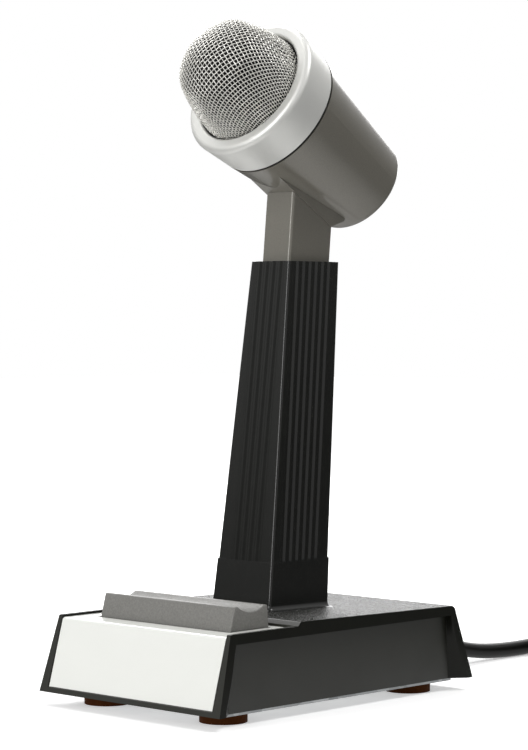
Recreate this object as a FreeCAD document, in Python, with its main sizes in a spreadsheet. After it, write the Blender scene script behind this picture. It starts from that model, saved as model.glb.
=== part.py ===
# Desktop press-to-talk microphone, in millimetres.
# Origin: on the table, under the middle of the base. +Z up, -Y the front, +X the right side.
import FreeCAD, Part
import math
import os
import re
import Sketcher
from FreeCAD import Placement, Rotation, Vector

doc = FreeCAD.newDocument("DesktopMicrophone")

# --------------------------------------------------------------------------------------------
# Driving sizes. Each size that can be set by itself is one cell with an alias.
# --------------------------------------------------------------------------------------------
SIZES = [
    # base housing
    ("base_bottom_width", 98.0), ("base_bottom_length", 144.3),
    ("base_top_width", 92.8), ("base_top_length", 127.0), ("base_height", 36.0),
    ("base_wall", 2.8), ("roof_under", 31.0), ("top_front_height", 35.94), ("top_rear_height", 34.3),
    ("step_y", -26.3), ("step_run", 1.7), ("deck_rim_height", 34.25), ("cavity_ledge", 3.0),
    ("end_wall_low", 6.6), ("ledge_inset", 3.2), ("corner_round", 2.6),
    ("panel_half_width", 44.0), ("panel_top", 30.5), ("panel_end_inset", 9.55), ("panel_top_inset", 2.2),
    ("panel_flare", 1.3),
    # feet and bottom plate
    ("foot_height", 4.0), ("foot_radius", 9.0), ("foot_x", 31.5), ("foot_end_inset", 19.65),
    ("plate_thick", 1.0), ("plate_end_inset", 7.25), ("plate_side_inset", 0.4),
    ("base_screw_radius", 1.5), ("base_screw_head", 2.9), ("screw_head_high", 1.8),
    ("boss_radius", 3.4), ("boss_top", 21.0), ("base_screw_tip", 17.0), ("screw_clear", 0.05),
    # front plate
    ("face_thick", 0.6), ("face_width", 88.8), ("face_low", 7.1), ("face_sink", 0.25),
    ("deck_seat", 32.7), ("face_bend", 1.4), ("face_gap", 0.1),
    # talk bar
    ("bar_width", 70.6), ("bar_front", -52.6), ("bar_front_top", -50.2), ("bar_rear", -32.1),
    ("bar_rear_top", -32.8), ("bar_bottom", 25.0), ("bar_deck_line", 33.4), ("bar_top", 42.3),
    ("bar_top_rear", 41.9), ("bar_ridge_front", 1.7), ("bar_ridge_rear", 1.9), ("groove_radius", 12.2),
    ("bar_wall", 2.2), ("bar_skin", 3.0), ("slot_gap_side", 0.8), ("slot_gap_front", 1.5),
    ("slot_gap_rear", 1.1), ("bar_edge_round", 0.5),
    ("arm_x", 30.0), ("arm_thick", 3.0), ("arm_top", 30.7), ("arm_low", 25.0), ("arm_eye", 3.0),
    ("pivot_y", -14.0), ("pivot_z", 26.4), ("pin_radius", 1.5), ("running_gap", 0.05),
    ("lug_gap", 0.6), ("lug_thick", 3.0), ("lug_radius", 3.6), ("clip_radius", 2.9), ("clip_thick", 0.6),
    ("nub_half_width", 4.0), ("nub_y", -41.0), ("nub_depth", 4.0), ("rest_gap", 0.3),
    # leaf switch
    ("switch_y", -22.5), ("switch_half_length", 4.5), ("switch_half_width", 6.5), ("switch_top", 22.0),
    ("insulator_thick", 1.5), ("leaf_thick", 0.4), ("leaf_half_width", 3.5), ("leaf_reach", 22.0),
    ("leaf_low_reach", 17.0), ("contact_radius", 1.2), ("clamp_thick", 0.8), ("switch_screw_x", 4.3),
    ("switch_screw_radius", 1.0), ("switch_screw_head", 1.9), ("switch_screw_tip", 27.0),
    # column
    ("column_top_z", 171.43), ("column_top_width", 20.92), ("column_top_depth", 29.26),
    ("column_top_y", 20.28), ("band_z", 54.45), ("band_width", 29.62), ("band_depth", 32.45),
    ("band_y", 7.66), ("band_proud", 0.38), ("column_corner", 1.1), ("column_wall", 2.0),
    ("foot_flange", 2.6), ("foot_sink", 1.2), ("bore_length", 48.8),
    ("flute_pitch", 3.65), ("flute_width", 1.85), ("flute_depth", 0.7), ("flute_clear", 1.0),
    ("column_boss_radius", 2.9), ("column_boss_high", 14.0), ("column_boss_x", 11.2),
    ("column_boss_spread", 11.5), ("column_screw_radius", 1.3), ("column_screw_head", 2.5),
    ("column_screw_long", 10.0), ("wire_hole_radius", 4.5),
    # neck
    ("neck_width", 15.0), ("neck_depth", 23.9), ("neck_top_y", 20.7), ("neck_slope", 0.0963),
    ("neck_corner", 1.2), ("neck_wall", 2.2), ("neck_below", 94.7), ("neck_gap", 0.33),
    ("neck_above", 44.0), ("stop_thick", 3.5), ("stop_overlap", 1.2),
    ("spring_thick", 0.5), ("spring_width", 7.0), ("spring_length", 36.0), ("spring_pocket", 1.5),
    ("spring_low", 8.0),
    ("saddle_width", 16.0), ("saddle_front", 25.7), ("saddle_rear", 27.7), ("saddle_back", 43.4),
    ("saddle_heel", 49.0), ("saddle_heel_radius", 21.9), ("saddle_nose", 2.0),
    # head, measured along its axis from the gasket
    ("head_y", 8.08), ("head_z", 230.84), ("head_tilt", 61.09), ("head_radius", 28.14),
    ("head_rear_radius", 21.3), ("head_long", 54.2), ("head_cap", 6.9), ("head_wall", 2.0),
    ("cap_face_radius", 18.4), ("cap_face_drop", 3.4), ("cap_shoulder", 4.2),
    ("gasket_thick", 1.1), ("gasket_inset", 0.5), ("gasket_bore", 22.6), ("seat_gap", 0.05),
    ("ring_long", 17.4), ("ring_front_radius", 29.5), ("ring_lip", 2.3), ("opening_radius", 23.7),
    ("ring_seat_radius", 22.0), ("ring_seat_thick", 3.0), ("ring_mouth_round", 1.2), ("grille_gap", 0.3),
    ("grille_thick", 0.9), ("grille_skirt_top", 16.5), ("grille_waist_s", 27.0),
    ("grille_waist_r", 21.2), ("grille_shoulder_s", 38.0), ("grille_shoulder_r", 17.7),
    ("grille_crown_s", 39.6), ("grille_crown_r", 16.0), ("grille_apex", 45.8),
    ("grille_shoulder_radius", 3.3),
    ("foam_thick", 1.6),
    ("capsule_radius", 15.0), ("capsule_front", 8.0), ("capsule_long", 24.0), ("capsule_wall", 1.2),
    ("front_thick", 3.0), ("magnet_radius", 8.0), ("magnet_long", 12.0), ("mount_thick", 5.0),
    ("mount_s", -9.0), ("head_screw_radius", 1.5), ("head_screw_head", 2.8), ("head_screw_front", 24.0),
    ("head_screw_rear", 38.0), ("head_screw_seat", 20.0), ("head_screw_long", 12.0), ("screw_pad_radius", 3.6),
    ("web_above", 8.0), ("neck_wire_radius", 3.0),
    # ballast and wiring
    ("ballast_half_width", 30.0), ("ballast_front", 0.0), ("ballast_boss_gap", 6.5), ("ballast_high", 12.0),
    ("ballast_chamfer", 1.5), ("ballast_screw_pitch", 26.0), ("ballast_screw_radius", 2.0),
    ("ballast_screw_head", 3.8), ("ballast_screw_long", 10.0),
    ("board_width", 32.0), ("board_depth", 18.0), ("board_thick", 1.6), ("board_stand", 2.5),
    ("board_screw_x", 12.5), ("board_screw_radius", 1.3), ("board_screw_head", 2.4),
    ("board_screw_long", 7.0), ("tag_width", 2.2), ("tag_thick", 0.5), ("tag_high", 6.0),
    ("tag_pitch", 4.4), ("tag_row_y", 5.5),
    # cord, strain relief, coil and plug
    ("cord_radius", 3.3), ("cord_exit_z", 11.0), ("relief_reach", 21.85), ("relief_inset", 11.95),
    ("relief_flange", 2.0), ("relief_neck_radius", 4.6), ("relief_collar_gap", 0.25),
    ("relief_collar_radius", 5.6), ("relief_collar_thick", 2.0), ("relief_root_radius", 5.2),
    ("relief_tip_radius", 4.1), ("relief_hole_gap", 0.1),
    ("coil_x", 47.4), ("coil_y", 205.0), ("coil_mid_radius", 39.6), ("coil_lift", 1.2),
    ("coil_round", 2.6), ("tie_thick", 0.9), ("tie_width", 9.0), ("tie_gap", 0.3), ("tie_side_gap", 0.6),
    ("plug_axis_offset", 36.0), ("boot_long", 11.0), ("boot_radius", 5.0), ("boot_tip_radius", 4.0),
    ("handle_long", 24.0), ("handle_radius", 7.6), ("shield_long", 10.0), ("shield_radius", 6.6),
    ("shield_wall", 0.6), ("insert_long", 4.0), ("pin_reach", 8.5), ("plug_pin_radius", 0.7),
    ("pin_circle", 3.4), ("plug_start", 6.0), ("plug_lift", 0.3),
]

# Sizes worked out from the driving ones.
DERIVED = [
    ("base_low", "foot_height + plate_thick"),
    ("end_slope", "(base_bottom_length - base_top_length) / 2 / (base_height - base_low)"),
    ("face_lean", "sqrt(1 + end_slope ^ 2)"),
    ("face_shift", "(face_thick + face_sink) * face_lean"),
    ("face_skin", "face_thick * face_lean"),
    ("panel_end_low", "base_bottom_length / 2 - panel_end_inset"),
    ("panel_end_high", "base_top_length / 2 - panel_top_inset"),
    ("plate_half_length", "base_bottom_length / 2 - plate_end_inset"),
    ("foot_y", "base_bottom_length / 2 - foot_end_inset"),
    ("ballast_rear", "foot_y - ballast_boss_gap"),
    ("cavity_half_width", "panel_half_width - base_wall"),
    ("cavity_low", "base_low + cavity_ledge"),
    ("cavity_end_low", "base_bottom_length / 2 - end_wall_low"),
    ("cavity_end_high", "cavity_end_low - end_slope * (roof_under - cavity_low)"),
    ("boss_end_wall", "base_bottom_length / 2 - end_slope * (boss_top - base_low) - face_shift - 2 * face_gap"),
    ("boss_end", "min(cavity_end_low + 1; boss_end_wall)"),
    ("top_fall", "(top_front_height - top_rear_height) / (base_top_length / 2 - step_y)"),
    ("foot_plane_z", "top_front_height + step_y * top_fall"),
    ("column_low_z", "foot_plane_z - foot_sink"),
    ("widen", "(band_width - column_top_width) / (column_top_z - band_z)"),
    ("deepen", "(band_depth - column_top_depth) / (column_top_z - band_z)"),
    ("lean", "(column_top_y - band_y) / (column_top_z - band_z)"),
    ("low_width", "band_width + widen * (band_z - foot_plane_z)"),
    ("low_depth", "band_depth + deepen * (band_z - foot_plane_z)"),
    ("low_y", "band_y - lean * (band_z - foot_plane_z)"),
    ("slot_front", "bar_front - slot_gap_front"),
    ("slot_rear", "bar_rear + slot_gap_rear"),
    ("slot_half_width", "bar_width / 2 + slot_gap_side"),
    ("deck_top", "deck_seat + face_thick"),
    ("leaf_top", "switch_top - insulator_thick"),
    ("leaf_two_top", "leaf_top - leaf_thick - insulator_thick"),
    ("stack_low", "leaf_two_top - leaf_thick - insulator_thick"),
    ("lug_x", "arm_x + arm_thick + lug_gap"),
    ("pin_half", "lug_x + lug_thick + clip_thick + lug_gap"),
    ("ballast_top", "base_low + ballast_high"),
    ("board_low", "ballast_top + board_stand"),
    ("board_y", "(ballast_front + ballast_rear) / 2"),
    ("coil_half_section", "cord_radius * 3"),
    ("coil_top", "coil_lift + cord_radius * 6"),
    ("neck_gap_y", "neck_depth / 2 * sqrt(1 + neck_slope ^ 2) + neck_gap"),
    ("cone_slope", "(head_radius - head_rear_radius) / head_long"),
    ("cap_radius", "(cap_face_radius ^ 2 + cap_face_drop ^ 2) / (2 * cap_face_drop)"),
    ("head_end", "head_long + head_cap"),
    ("gasket_half", "gasket_thick / 2"),
    ("head_bear_z", "foot_height - 1.6"),
    ("relief_inner_y", "base_bottom_length / 2 - relief_inset"),
    ("relief_collar_y", "base_bottom_length / 2 + relief_collar_gap"),
    ("relief_tip_y", "base_bottom_length / 2 + relief_reach"),
    ("plug_z", "coil_top + handle_radius + plug_lift"),
    ("boot_x", "coil_x + plug_start"),
    ("plug_y", "coil_y + plug_axis_offset"),
]

ALIAS = {}


def full(expression, own_sheet=""):
    """Turn alias words into references to the sheet that holds them."""
    def reference(word):
        return ALIAS.get(word.group(0), word.group(0)).replace(f"{own_sheet}.", "", bool(own_sheet))
    return re.sub(r"[a-z_]+", reference, str(expression))


def fill_sheet(name, rows):
    sheet = doc.addObject("Spreadsheet::Sheet", name)
    for row, (alias, content) in enumerate(rows, start=1):
        sheet.set(f"A{row}", alias)
        sheet.set(f"B{row}", "=" + full(content, name) if isinstance(content, str) else repr(content))
        sheet.setAlias(f"B{row}", alias)
        ALIAS[alias] = f"{name}.{alias}"
    doc.recompute()
    return sheet


sizes = fill_sheet("Sizes", SIZES)
fill_sheet("Derived", DERIVED)


def num(expression):
    """The value of an expression in alias words."""
    return float(sizes.evalExpression(full(expression)))


def bind(item, **expressions):
    """Drive properties of an object from the sheets; a double underscore stands for a dot."""
    for name, expression in expressions.items():
        item.setExpression(name.replace("__", "."), full(expression))


# --------------------------------------------------------------------------------------------
# Bodies, sketches and features
# --------------------------------------------------------------------------------------------
PIECES = []
HEAD_TILT = Rotation(Vector(1, 0, 0), num("head_tilt"))
NECK_TILT = Rotation(Vector(1, 0, 0), -math.degrees(math.atan(num("neck_slope"))))
TOP_TILT = Rotation(Vector(1, 0, 0), -math.degrees(math.atan(num("top_fall"))))
ALONG_Y = Rotation(Vector(1, 0, 0), -90)
ALONG_X = Rotation(Vector(0, 1, 0), 90)


def keep(item, label):
    """Mark an object as a finished sub-part, written to its own file."""
    item.Label = label
    PIECES.append(item)
    return item


def body(label, finished=True):
    item = doc.addObject("PartDesign::Body", label)
    return keep(item, label) if finished else item


def place(item, x="0", y="0", z="0", turn=None):
    item.Placement = Placement(Vector(num(x), num(y), num(z)), turn or Rotation())
    bind(item, Placement__Base__x=x, Placement__Base__y=y, Placement__Base__z=z)
    return item


def origin_plane(owner, role):
    return next(plane for plane in owner.Origin.OriginFeatures if plane.Role == role)


def draw_circle(sketch, step):
    x, y, radius = step[1:]
    centre = Vector(num(x), num(y), 0)
    index = sketch.addGeometry(Part.Circle(centre, Vector(0, 0, 1), num(radius)), False)
    hold(sketch, Sketcher.Constraint("DistanceX", -1, 1, index, 3, centre.x), x)
    hold(sketch, Sketcher.Constraint("DistanceY", -1, 1, index, 3, centre.y), y)
    hold(sketch, Sketcher.Constraint("Radius", index, num(radius)), radius)


def hold(sketch, constraint, expression):
    index = sketch.addConstraint(constraint)
    sketch.setExpression(f"Constraints[{index}]", full(expression))


def arc_between(start, end, radius):
    """The shorter arc; a positive radius turns left on the way, a negative one right."""
    half = (end - start) * 0.5
    side = Vector(-half.y, half.x, 0).normalize()
    rise = math.sqrt(max(radius ** 2 - half.Length ** 2, 0.0))
    centre = start + half + side * math.copysign(rise, radius)
    bulge = centre - side * abs(radius) * math.copysign(1, radius)
    return Part.ArcOfCircle(start, bulge, end) if radius > 0 else Part.ArcOfCircle(end, bulge, start)


def draw_outline(sketch, steps):
    """A closed outline. A step is (x, y) for a line to there or (x, y, radius) for an arc."""
    corners = [Vector(num(step[0]), num(step[1]), 0) for step in steps]
    ends = []
    for index, step in enumerate(steps):
        start = corners[index - 1]
        end = corners[index]
        if len(step) == 2:
            geometry = sketch.addGeometry(Part.LineSegment(start, end), False)
            ends.append((geometry, 1, 2))
            continue
        radius = num(step[2])
        geometry = sketch.addGeometry(arc_between(start, end, radius), False)
        ends.append((geometry, 1, 2) if radius > 0 else (geometry, 2, 1))
        if abs((end - start).Length - 2 * abs(radius)) > 1e-6:
            hold(sketch, Sketcher.Constraint("Radius", geometry, abs(radius)), f"abs({step[2]})")
        elif abs(end.y - start.y) < 1e-6:
            hold(sketch, Sketcher.Constraint("DistanceY", -1, 1, geometry, 3, end.y), step[1])
        else:
            hold(sketch, Sketcher.Constraint("DistanceX", -1, 1, geometry, 3, end.x), step[0])
    for index, (geometry, first, last) in enumerate(ends):
        following, following_first, _ = ends[(index + 1) % len(ends)]
        sketch.addConstraint(Sketcher.Constraint("Coincident", geometry, last, following, following_first))
        x, y = steps[index][:2]
        hold(sketch, Sketcher.Constraint("DistanceX", -1, 1, geometry, last, corners[index].x), x)
        hold(sketch, Sketcher.Constraint("DistanceY", -1, 1, geometry, last, corners[index].y), y)


def sketch_on(owner, name, role, outlines, lift="0", turn=None):
    """A sketch on one of the body's own planes, lifted along the plane's normal."""
    sketch = owner.newObject("Sketcher::SketchObject", name)
    sketch.AttachmentSupport = [(origin_plane(owner, role), "")]
    sketch.MapMode = "FlatFace"
    sketch.AttachmentOffset = Placement(Vector(0, 0, num(lift)), turn or Rotation())
    bind(sketch, AttachmentOffset__Base__z=lift)
    for outline in outlines:
        if outline[0] == "circle":
            draw_circle(sketch, outline)
        else:
            draw_outline(sketch, outline)
    return sketch


def settle(owner, item, before, cuts):
    """Recompute, and make sure that the feature really added or removed material."""
    doc.recompute()
    change = owner.Shape.Volume - before
    if "Invalid" in item.State or "Error" in item.State or (change >= 0) == cuts or abs(change) < 1e-6:
        raise RuntimeError(f"{owner.Label}.{item.Name} changed the volume by {change:.3f}: {item.State}")
    return item


def volume_of(owner):
    return owner.Shape.Volume if owner.Tip and not owner.Shape.isNull() else 0.0


def extrude(owner, sketch, length, cuts=False, both=False, back=False):
    """Pad or Pocket. A Pocket goes against the sketch's normal unless back is set."""
    before = volume_of(owner)
    item = owner.newObject("PartDesign::Pocket" if cuts else "PartDesign::Pad", sketch.Name + "_run")
    item.Profile = sketch
    item.Length = num(length)
    bind(item, Length=length)
    item.SideType = "Symmetric" if both else "One side"
    item.Reversed = back
    return settle(owner, item, before, cuts)


def loft(owner, low, high, cuts=False):
    before = volume_of(owner)
    kind = "PartDesign::SubtractiveLoft" if cuts else "PartDesign::AdditiveLoft"
    item = owner.newObject(kind, low.Name + "_loft")
    item.Profile = low
    item.Sections = [high]
    item.Ruled = True
    return settle(owner, item, before, cuts)


def spin(owner, outline):
    """A full turn of an outline drawn as radius and height about the body's own Z axis."""
    sketch = sketch_on(owner, owner.Name + "_section", "XZ_Plane", [outline])
    item = owner.newObject("PartDesign::Revolution", owner.Name + "_turned")
    item.Profile = sketch
    item.ReferenceAxis = (sketch, ["V_Axis"])
    item.Angle = 360
    return settle(owner, item, 0.0, False)


def mirror(owner, feature, cuts, role="YZ_Plane"):
    before = volume_of(owner)
    item = owner.newObject("PartDesign::Mirrored", feature.Name + "_twin")
    item.Originals = [feature]
    item.MirrorPlane = (origin_plane(owner, role), [""])
    owner.Tip = item
    return settle(owner, item, before, cuts)


def round_edges(owner, radius, test, cuts=True):
    """Fillet the edges of the body's last feature that pass a test of their two ends."""
    names = []
    for index, edge in enumerate(owner.Tip.Shape.Edges, start=1):
        if len(edge.Vertexes) == 2 and test(edge.Vertexes[0].Point, edge.Vertexes[1].Point):
            names.append(f"Edge{index}")
    before = volume_of(owner)
    base = owner.Tip
    item = owner.newObject("PartDesign::Fillet", base.Name + "_round")
    item.Base = (base, names)
    item.Radius = num(radius)
    bind(item, Radius=radius)
    return settle(owner, item, before, cuts)


def rectangle(half_x, low_y, high_y):
    return [(f"-({half_x})", low_y), (half_x, low_y), (half_x, high_y), (f"-({half_x})", high_y)]


def rounded_rectangle(half_x, low_y, high_y, radius):
    right = f"({half_x})"
    return [(f"{right} - {radius}", low_y), (right, f"{low_y} + {radius}", radius),
            (right, f"{high_y} - {radius}"), (f"{right} - {radius}", high_y, radius),
            (f"{radius} - {right}", high_y), (f"-{right}", f"{high_y} - {radius}", radius),
            (f"-{right}", f"{low_y} + {radius}"), (f"{radius} - {right}", low_y, radius)]


def near(value, expression, slack=0.3):
    return abs(value - num(expression)) < slack


def box(name, x, y, z, long, wide, high):
    item = doc.addObject("Part::Box", name)
    bind(item, Length=long, Width=wide, Height=high)
    return place(item, x, y, z)


def cylinder(name, radius, high, x="0", y="0", z="0", turn=None):
    item = doc.addObject("Part::Cylinder", name)
    bind(item, Radius=radius, Height=high)
    return place(item, x, y, z, turn)


def fuse(name, items):
    joined = doc.addObject("Part::MultiFuse", name)
    joined.Shapes = items
    return joined


def cut(name, base, tool):
    item = doc.addObject("Part::Cut", name)
    item.Base = base
    item.Tool = tool
    return item


def group(label, items):
    """Several separate solids in one sub-part."""
    joined = doc.addObject("Part::Compound", label)
    joined.Links = items
    return keep(joined, label)


def screw(name, x, y, z, head_radius, head_high, shank_radius, shank_long):
    """An upright screw with its head below the seat height z."""
    head = cylinder(name + "_head", head_radius, head_high, x, y, f"({z}) - ({head_high})")
    shank = cylinder(name + "_shank", shank_radius, shank_long, x, y, z)
    return fuse(name, [head, shank])


SIDES = [("left", "-"), ("right", "+")]
ENDS = [("front", "-"), ("rear", "+")]
CORNERS = [(f"{end}_{side}", f"0 {sign_x} ", f"0 {sign_y} ") for end, sign_y in ENDS for side, sign_x in SIDES]


# --------------------------------------------------------------------------------------------
# Base housing
# --------------------------------------------------------------------------------------------
def wall_y(height, shift="0"):
    """The front wall's Y at a height, moved back by shift."""
    return f"-(base_bottom_length / 2 - end_slope * (({height}) - base_low)) + {shift}"


def shape_outside(cover):
    low = sketch_on(cover, "cover_low", "XY_Plane",
                    [rectangle("base_bottom_width / 2", "-base_bottom_length / 2", "base_bottom_length / 2")],
                    "base_low")
    high = sketch_on(cover, "cover_high", "XY_Plane",
                     [rectangle("base_top_width / 2", "-base_top_length / 2", "base_top_length / 2")],
                     "base_height")
    loft(cover, low, high)
    far = "base_bottom_length"
    top = [(f"-{far}", "deck_rim_height"), ("step_y - step_run", "deck_rim_height"),
           ("step_y", "top_front_height"), (far, f"top_front_height - top_fall * ({far} - step_y)"),
           (far, "base_height * 2"), (f"-{far}", "base_height * 2")]
    extrude(cover, sketch_on(cover, "cover_top", "YZ_Plane", [top]), "base_bottom_width * 2", cuts=True, both=True)
    round_edges(cover, "corner_round",
                lambda a, b: near(a.y, b.y) and a.y > 0 and min(a.z, b.z) > num("roof_under"))


def hollow_cover(cover):
    low = sketch_on(cover, "cavity_low_edge", "XY_Plane",
                    [rectangle("cavity_half_width", "-cavity_end_low", "cavity_end_low")], "cavity_low")
    high = sketch_on(cover, "cavity_roof", "XY_Plane",
                     [rectangle("cavity_half_width", "-cavity_end_high", "cavity_end_high")], "roof_under")
    loft(cover, low, high, cuts=True)
    ledge = sketch_on(cover, "cavity_mouth", "XY_Plane",
                      [rectangle("cavity_half_width", "-cavity_end_low + ledge_inset",
                                 "cavity_end_low - ledge_inset")], "base_low")
    extrude(cover, ledge, "cavity_ledge", cuts=True, back=True)


def recess_sides(cover):
    def outline(end, flare):
        reach = f"({end}) + base_wall * 4 * {flare}"
        far = "panel_half_width + base_wall * 4"
        return [("panel_half_width", f"-({end})"), (far, f"-({reach})"), (far, reach), ("panel_half_width", end)]
    low = sketch_on(cover, "panel_low", "XY_Plane", [outline("panel_end_low", "panel_flare")], "base_low")
    high = sketch_on(cover, "panel_high", "XY_Plane", [outline("panel_end_high", "0")], "panel_top")
    mirror(cover, loft(cover, low, high, cuts=True), cuts=True)


def cut_front_seat(cover):
    back = "step_y - step_run"
    over = "base_height * 2"
    seat = [(wall_y("face_low", "face_shift"), "face_low"), (wall_y("deck_seat", "face_shift"), "deck_seat"),
            (back, "deck_seat"), (back, over), ("-base_bottom_length", over), ("-base_bottom_length", "face_low")]
    extrude(cover, sketch_on(cover, "face_seat", "YZ_Plane", [seat]), "face_width", cuts=True, both=True)
    edge_y = num(wall_y("deck_seat", "face_shift"))
    round_edges(cover, "face_bend - face_thick",
                lambda a, b: abs(a.y - edge_y) < 0.05 and abs(b.y - edge_y) < 0.05 and near(a.z, "deck_seat", 0.05)
                and near(b.z, "deck_seat", 0.05))
    slot = sketch_on(cover, "bar_slot", "XY_Plane", [rectangle("slot_half_width", "slot_front", "slot_rear")],
                     "base_height")
    extrude(cover, slot, "base_height - roof_under + step_run", cuts=True)


def cut_column_seat(cover):
    outline = column_outline("low_width", "low_depth", "low_y", "foot_flange", "(column_corner + foot_flange)")
    seat = sketch_on(cover, "column_seat", "XY_Plane", [outline], "foot_plane_z", TOP_TILT)
    extrude(cover, seat, "foot_sink", cuts=True)
    holes = [("circle", "0", "low_y", "wire_hole_radius")]
    holes += [("circle", f"{x} column_boss_x", f"low_y + ({y} column_boss_spread)", "column_screw_radius + rest_gap")
              for _, x, y in CORNERS]
    extrude(cover, sketch_on(cover, "roof_holes", "XY_Plane", holes, "base_height"),
            "base_height - roof_under + step_run", cuts=True)


def add_screw_bosses(cover):
    outlines = []
    holes = []
    for _, x, y in CORNERS:
        middle_x = f"{x} foot_x"
        middle_y = f"{y} foot_y"
        end_y = f"{y} boss_end"
        radius = "boss_radius" if y.strip().endswith("-") else "-boss_radius"
        outlines.append([(f"{middle_x} + boss_radius", end_y), (f"{middle_x} + boss_radius", middle_y),
                         (f"{middle_x} - boss_radius", middle_y, radius),
                         (f"{middle_x} - boss_radius", end_y)])
        holes.append(("circle", middle_x, middle_y, "base_screw_radius + screw_clear"))
    extrude(cover, sketch_on(cover, "screw_bosses", "XY_Plane", outlines, "base_low"), "boss_top - base_low")
    extrude(cover, sketch_on(cover, "screw_holes", "XY_Plane", holes, "base_low"),
            "base_screw_tip - base_low + 1", cuts=True, back=True)


def add_bar_lugs(cover):
    left = "pivot_y - lug_radius"
    right = "pivot_y + lug_radius"
    top = "roof_under + step_run"
    outline = [(left, top), (left, "pivot_z"), (right, "pivot_z", "lug_radius"), (right, top)]
    hole = ("circle", "pivot_y", "pivot_z", "pin_radius + screw_clear")
    lug = extrude(cover, sketch_on(cover, "bar_lug", "YZ_Plane", [outline, hole], "lug_x"), "lug_thick")
    mirror(cover, lug, cuts=False)


def add_switch_boss(cover):
    outline = rectangle("switch_half_width", "switch_y - switch_half_length", "switch_y + switch_half_length")
    extrude(cover, sketch_on(cover, "switch_boss", "XY_Plane", [outline], "switch_top"),
            "roof_under - switch_top + step_run")
    holes = [("circle", f"0 {sign} switch_screw_x", "switch_y", "switch_screw_radius + screw_clear")
             for _, sign in SIDES]
    extrude(cover, sketch_on(cover, "switch_holes", "XY_Plane", holes, "switch_top"),
            "switch_screw_tip - switch_top + 1", cuts=True, back=True)


def cut_cord_hole(cover):
    hole = ("circle", "0", "cord_exit_z", "relief_neck_radius + relief_hole_gap")
    extrude(cover, sketch_on(cover, "cord_hole", "XZ_Plane", [hole], "-relief_inner_y"),
            "base_bottom_length / 2", cuts=True)


def make_base_cover():
    cover = body("base_cover")
    shape_outside(cover)
    hollow_cover(cover)
    recess_sides(cover)
    cut_front_seat(cover)
    cut_column_seat(cover)
    add_screw_bosses(cover)
    add_bar_lugs(cover)
    add_switch_boss(cover)
    cut_cord_hole(cover)


def make_front_plate():
    """Sheet metal: down the sloped front and back over the lower deck, cut out round the bar."""
    plate = body("front_plate")
    low = "face_low + face_gap"
    back = "step_y - step_run - face_gap"
    outline = [(wall_y(low, "face_shift"), low), (wall_y(low, "face_shift - face_skin"), low),
               (wall_y("deck_top", "face_shift - face_skin"), "deck_top"), (back, "deck_top"),
               (back, "deck_seat"), (wall_y("deck_seat", "face_shift"), "deck_seat")]
    extrude(plate, sketch_on(plate, "plate_bend", "YZ_Plane", [outline]), "face_width - 2 * face_gap", both=True)
    outer_y = num(wall_y("deck_top", "face_shift - face_skin"))
    inner_y = num(wall_y("deck_seat", "face_shift"))
    round_edges(plate, "face_bend", lambda a, b: abs(a.y - outer_y) < 0.02 and abs(b.y - outer_y) < 0.02)
    round_edges(plate, "face_bend - face_thick",
                lambda a, b: abs(a.y - inner_y) < 0.02 and abs(b.y - inner_y) < 0.02, cuts=False)
    slot = sketch_on(plate, "plate_slot", "XY_Plane", [rectangle("slot_half_width", "slot_front", "slot_rear")],
                     "base_height")
    extrude(plate, slot, "base_height - roof_under", cuts=True)


def make_bottom_plate():
    plate = body("bottom_plate")
    outlines = [rectangle("panel_half_width - plate_side_inset", "-plate_half_length", "plate_half_length")]
    outlines += [("circle", f"{x} foot_x", f"{y} foot_y", "base_screw_radius + screw_clear")
                 for _, x, y in CORNERS]
    outlines += [("circle", "0", f"board_y + ({sign} ballast_screw_pitch / 2)", "ballast_screw_radius + screw_clear")
                 for _, sign in (("front", "0 -"), ("rear", "0 +"))]
    extrude(plate, sketch_on(plate, "plate_outline", "XY_Plane", outlines, "foot_height"), "plate_thick")


def make_feet_and_screws():
    screws = []
    for corner, x, y in CORNERS:
        foot = body("foot_" + corner)
        place(foot, f"{x} foot_x", f"{y} foot_y")
        rings = [("circle", "0", "0", "foot_radius"), ("circle", "0", "0", "base_screw_radius + rest_gap")]
        extrude(foot, sketch_on(foot, f"foot_{corner}_ring", "XY_Plane", rings), "foot_height")
        recess = sketch_on(foot, f"foot_{corner}_recess", "XY_Plane",
                           [("circle", "0", "0", "base_screw_head + rest_gap")])
        extrude(foot, recess, "head_bear_z", cuts=True, back=True)
        screws.append(screw("base_screw_" + corner, f"{x} foot_x", f"{y} foot_y", "head_bear_z", "base_screw_head",
                            "screw_head_high", "base_screw_radius", "base_screw_tip - head_bear_z"))
    group("base_screws", screws)


def make_ballast():
    ballast = body("ballast_weight")
    outline = rectangle("ballast_half_width", "ballast_front", "ballast_rear")
    extrude(ballast, sketch_on(ballast, "ballast_outline", "XY_Plane", [outline], "base_low"), "ballast_high")
    round_edges(ballast, "ballast_chamfer", lambda a, b: near(a.z, "ballast_top") and near(b.z, "ballast_top"))
    stands = [("circle", f"0 {sign} board_screw_x", "board_y", "board_screw_head + rest_gap") for _, sign in SIDES]
    extrude(ballast, sketch_on(ballast, "board_stands", "XY_Plane", stands, "ballast_top"), "board_stand")
    pilots = [("circle", f"0 {sign} board_screw_x", "board_y", "board_screw_radius + screw_clear")
              for _, sign in SIDES]
    extrude(ballast, sketch_on(ballast, "board_pilots", "XY_Plane", pilots, "board_low"), "board_screw_long",
            cuts=True)
    taps = [("circle", "0", f"board_y + ({sign} ballast_screw_pitch / 2)", "ballast_screw_radius + screw_clear")
            for _, sign in (("front", "0 -"), ("rear", "0 +"))]
    extrude(ballast, sketch_on(ballast, "ballast_taps", "XY_Plane", taps, "base_low"),
            "ballast_screw_long", cuts=True, back=True)
    group("ballast_screws", [
        screw(f"ballast_screw_{end}", "0", f"board_y + (0 {sign} ballast_screw_pitch / 2)", "foot_height",
              "ballast_screw_head", "screw_head_high", "ballast_screw_radius", "ballast_screw_long")
        for end, sign in ENDS])


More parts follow.
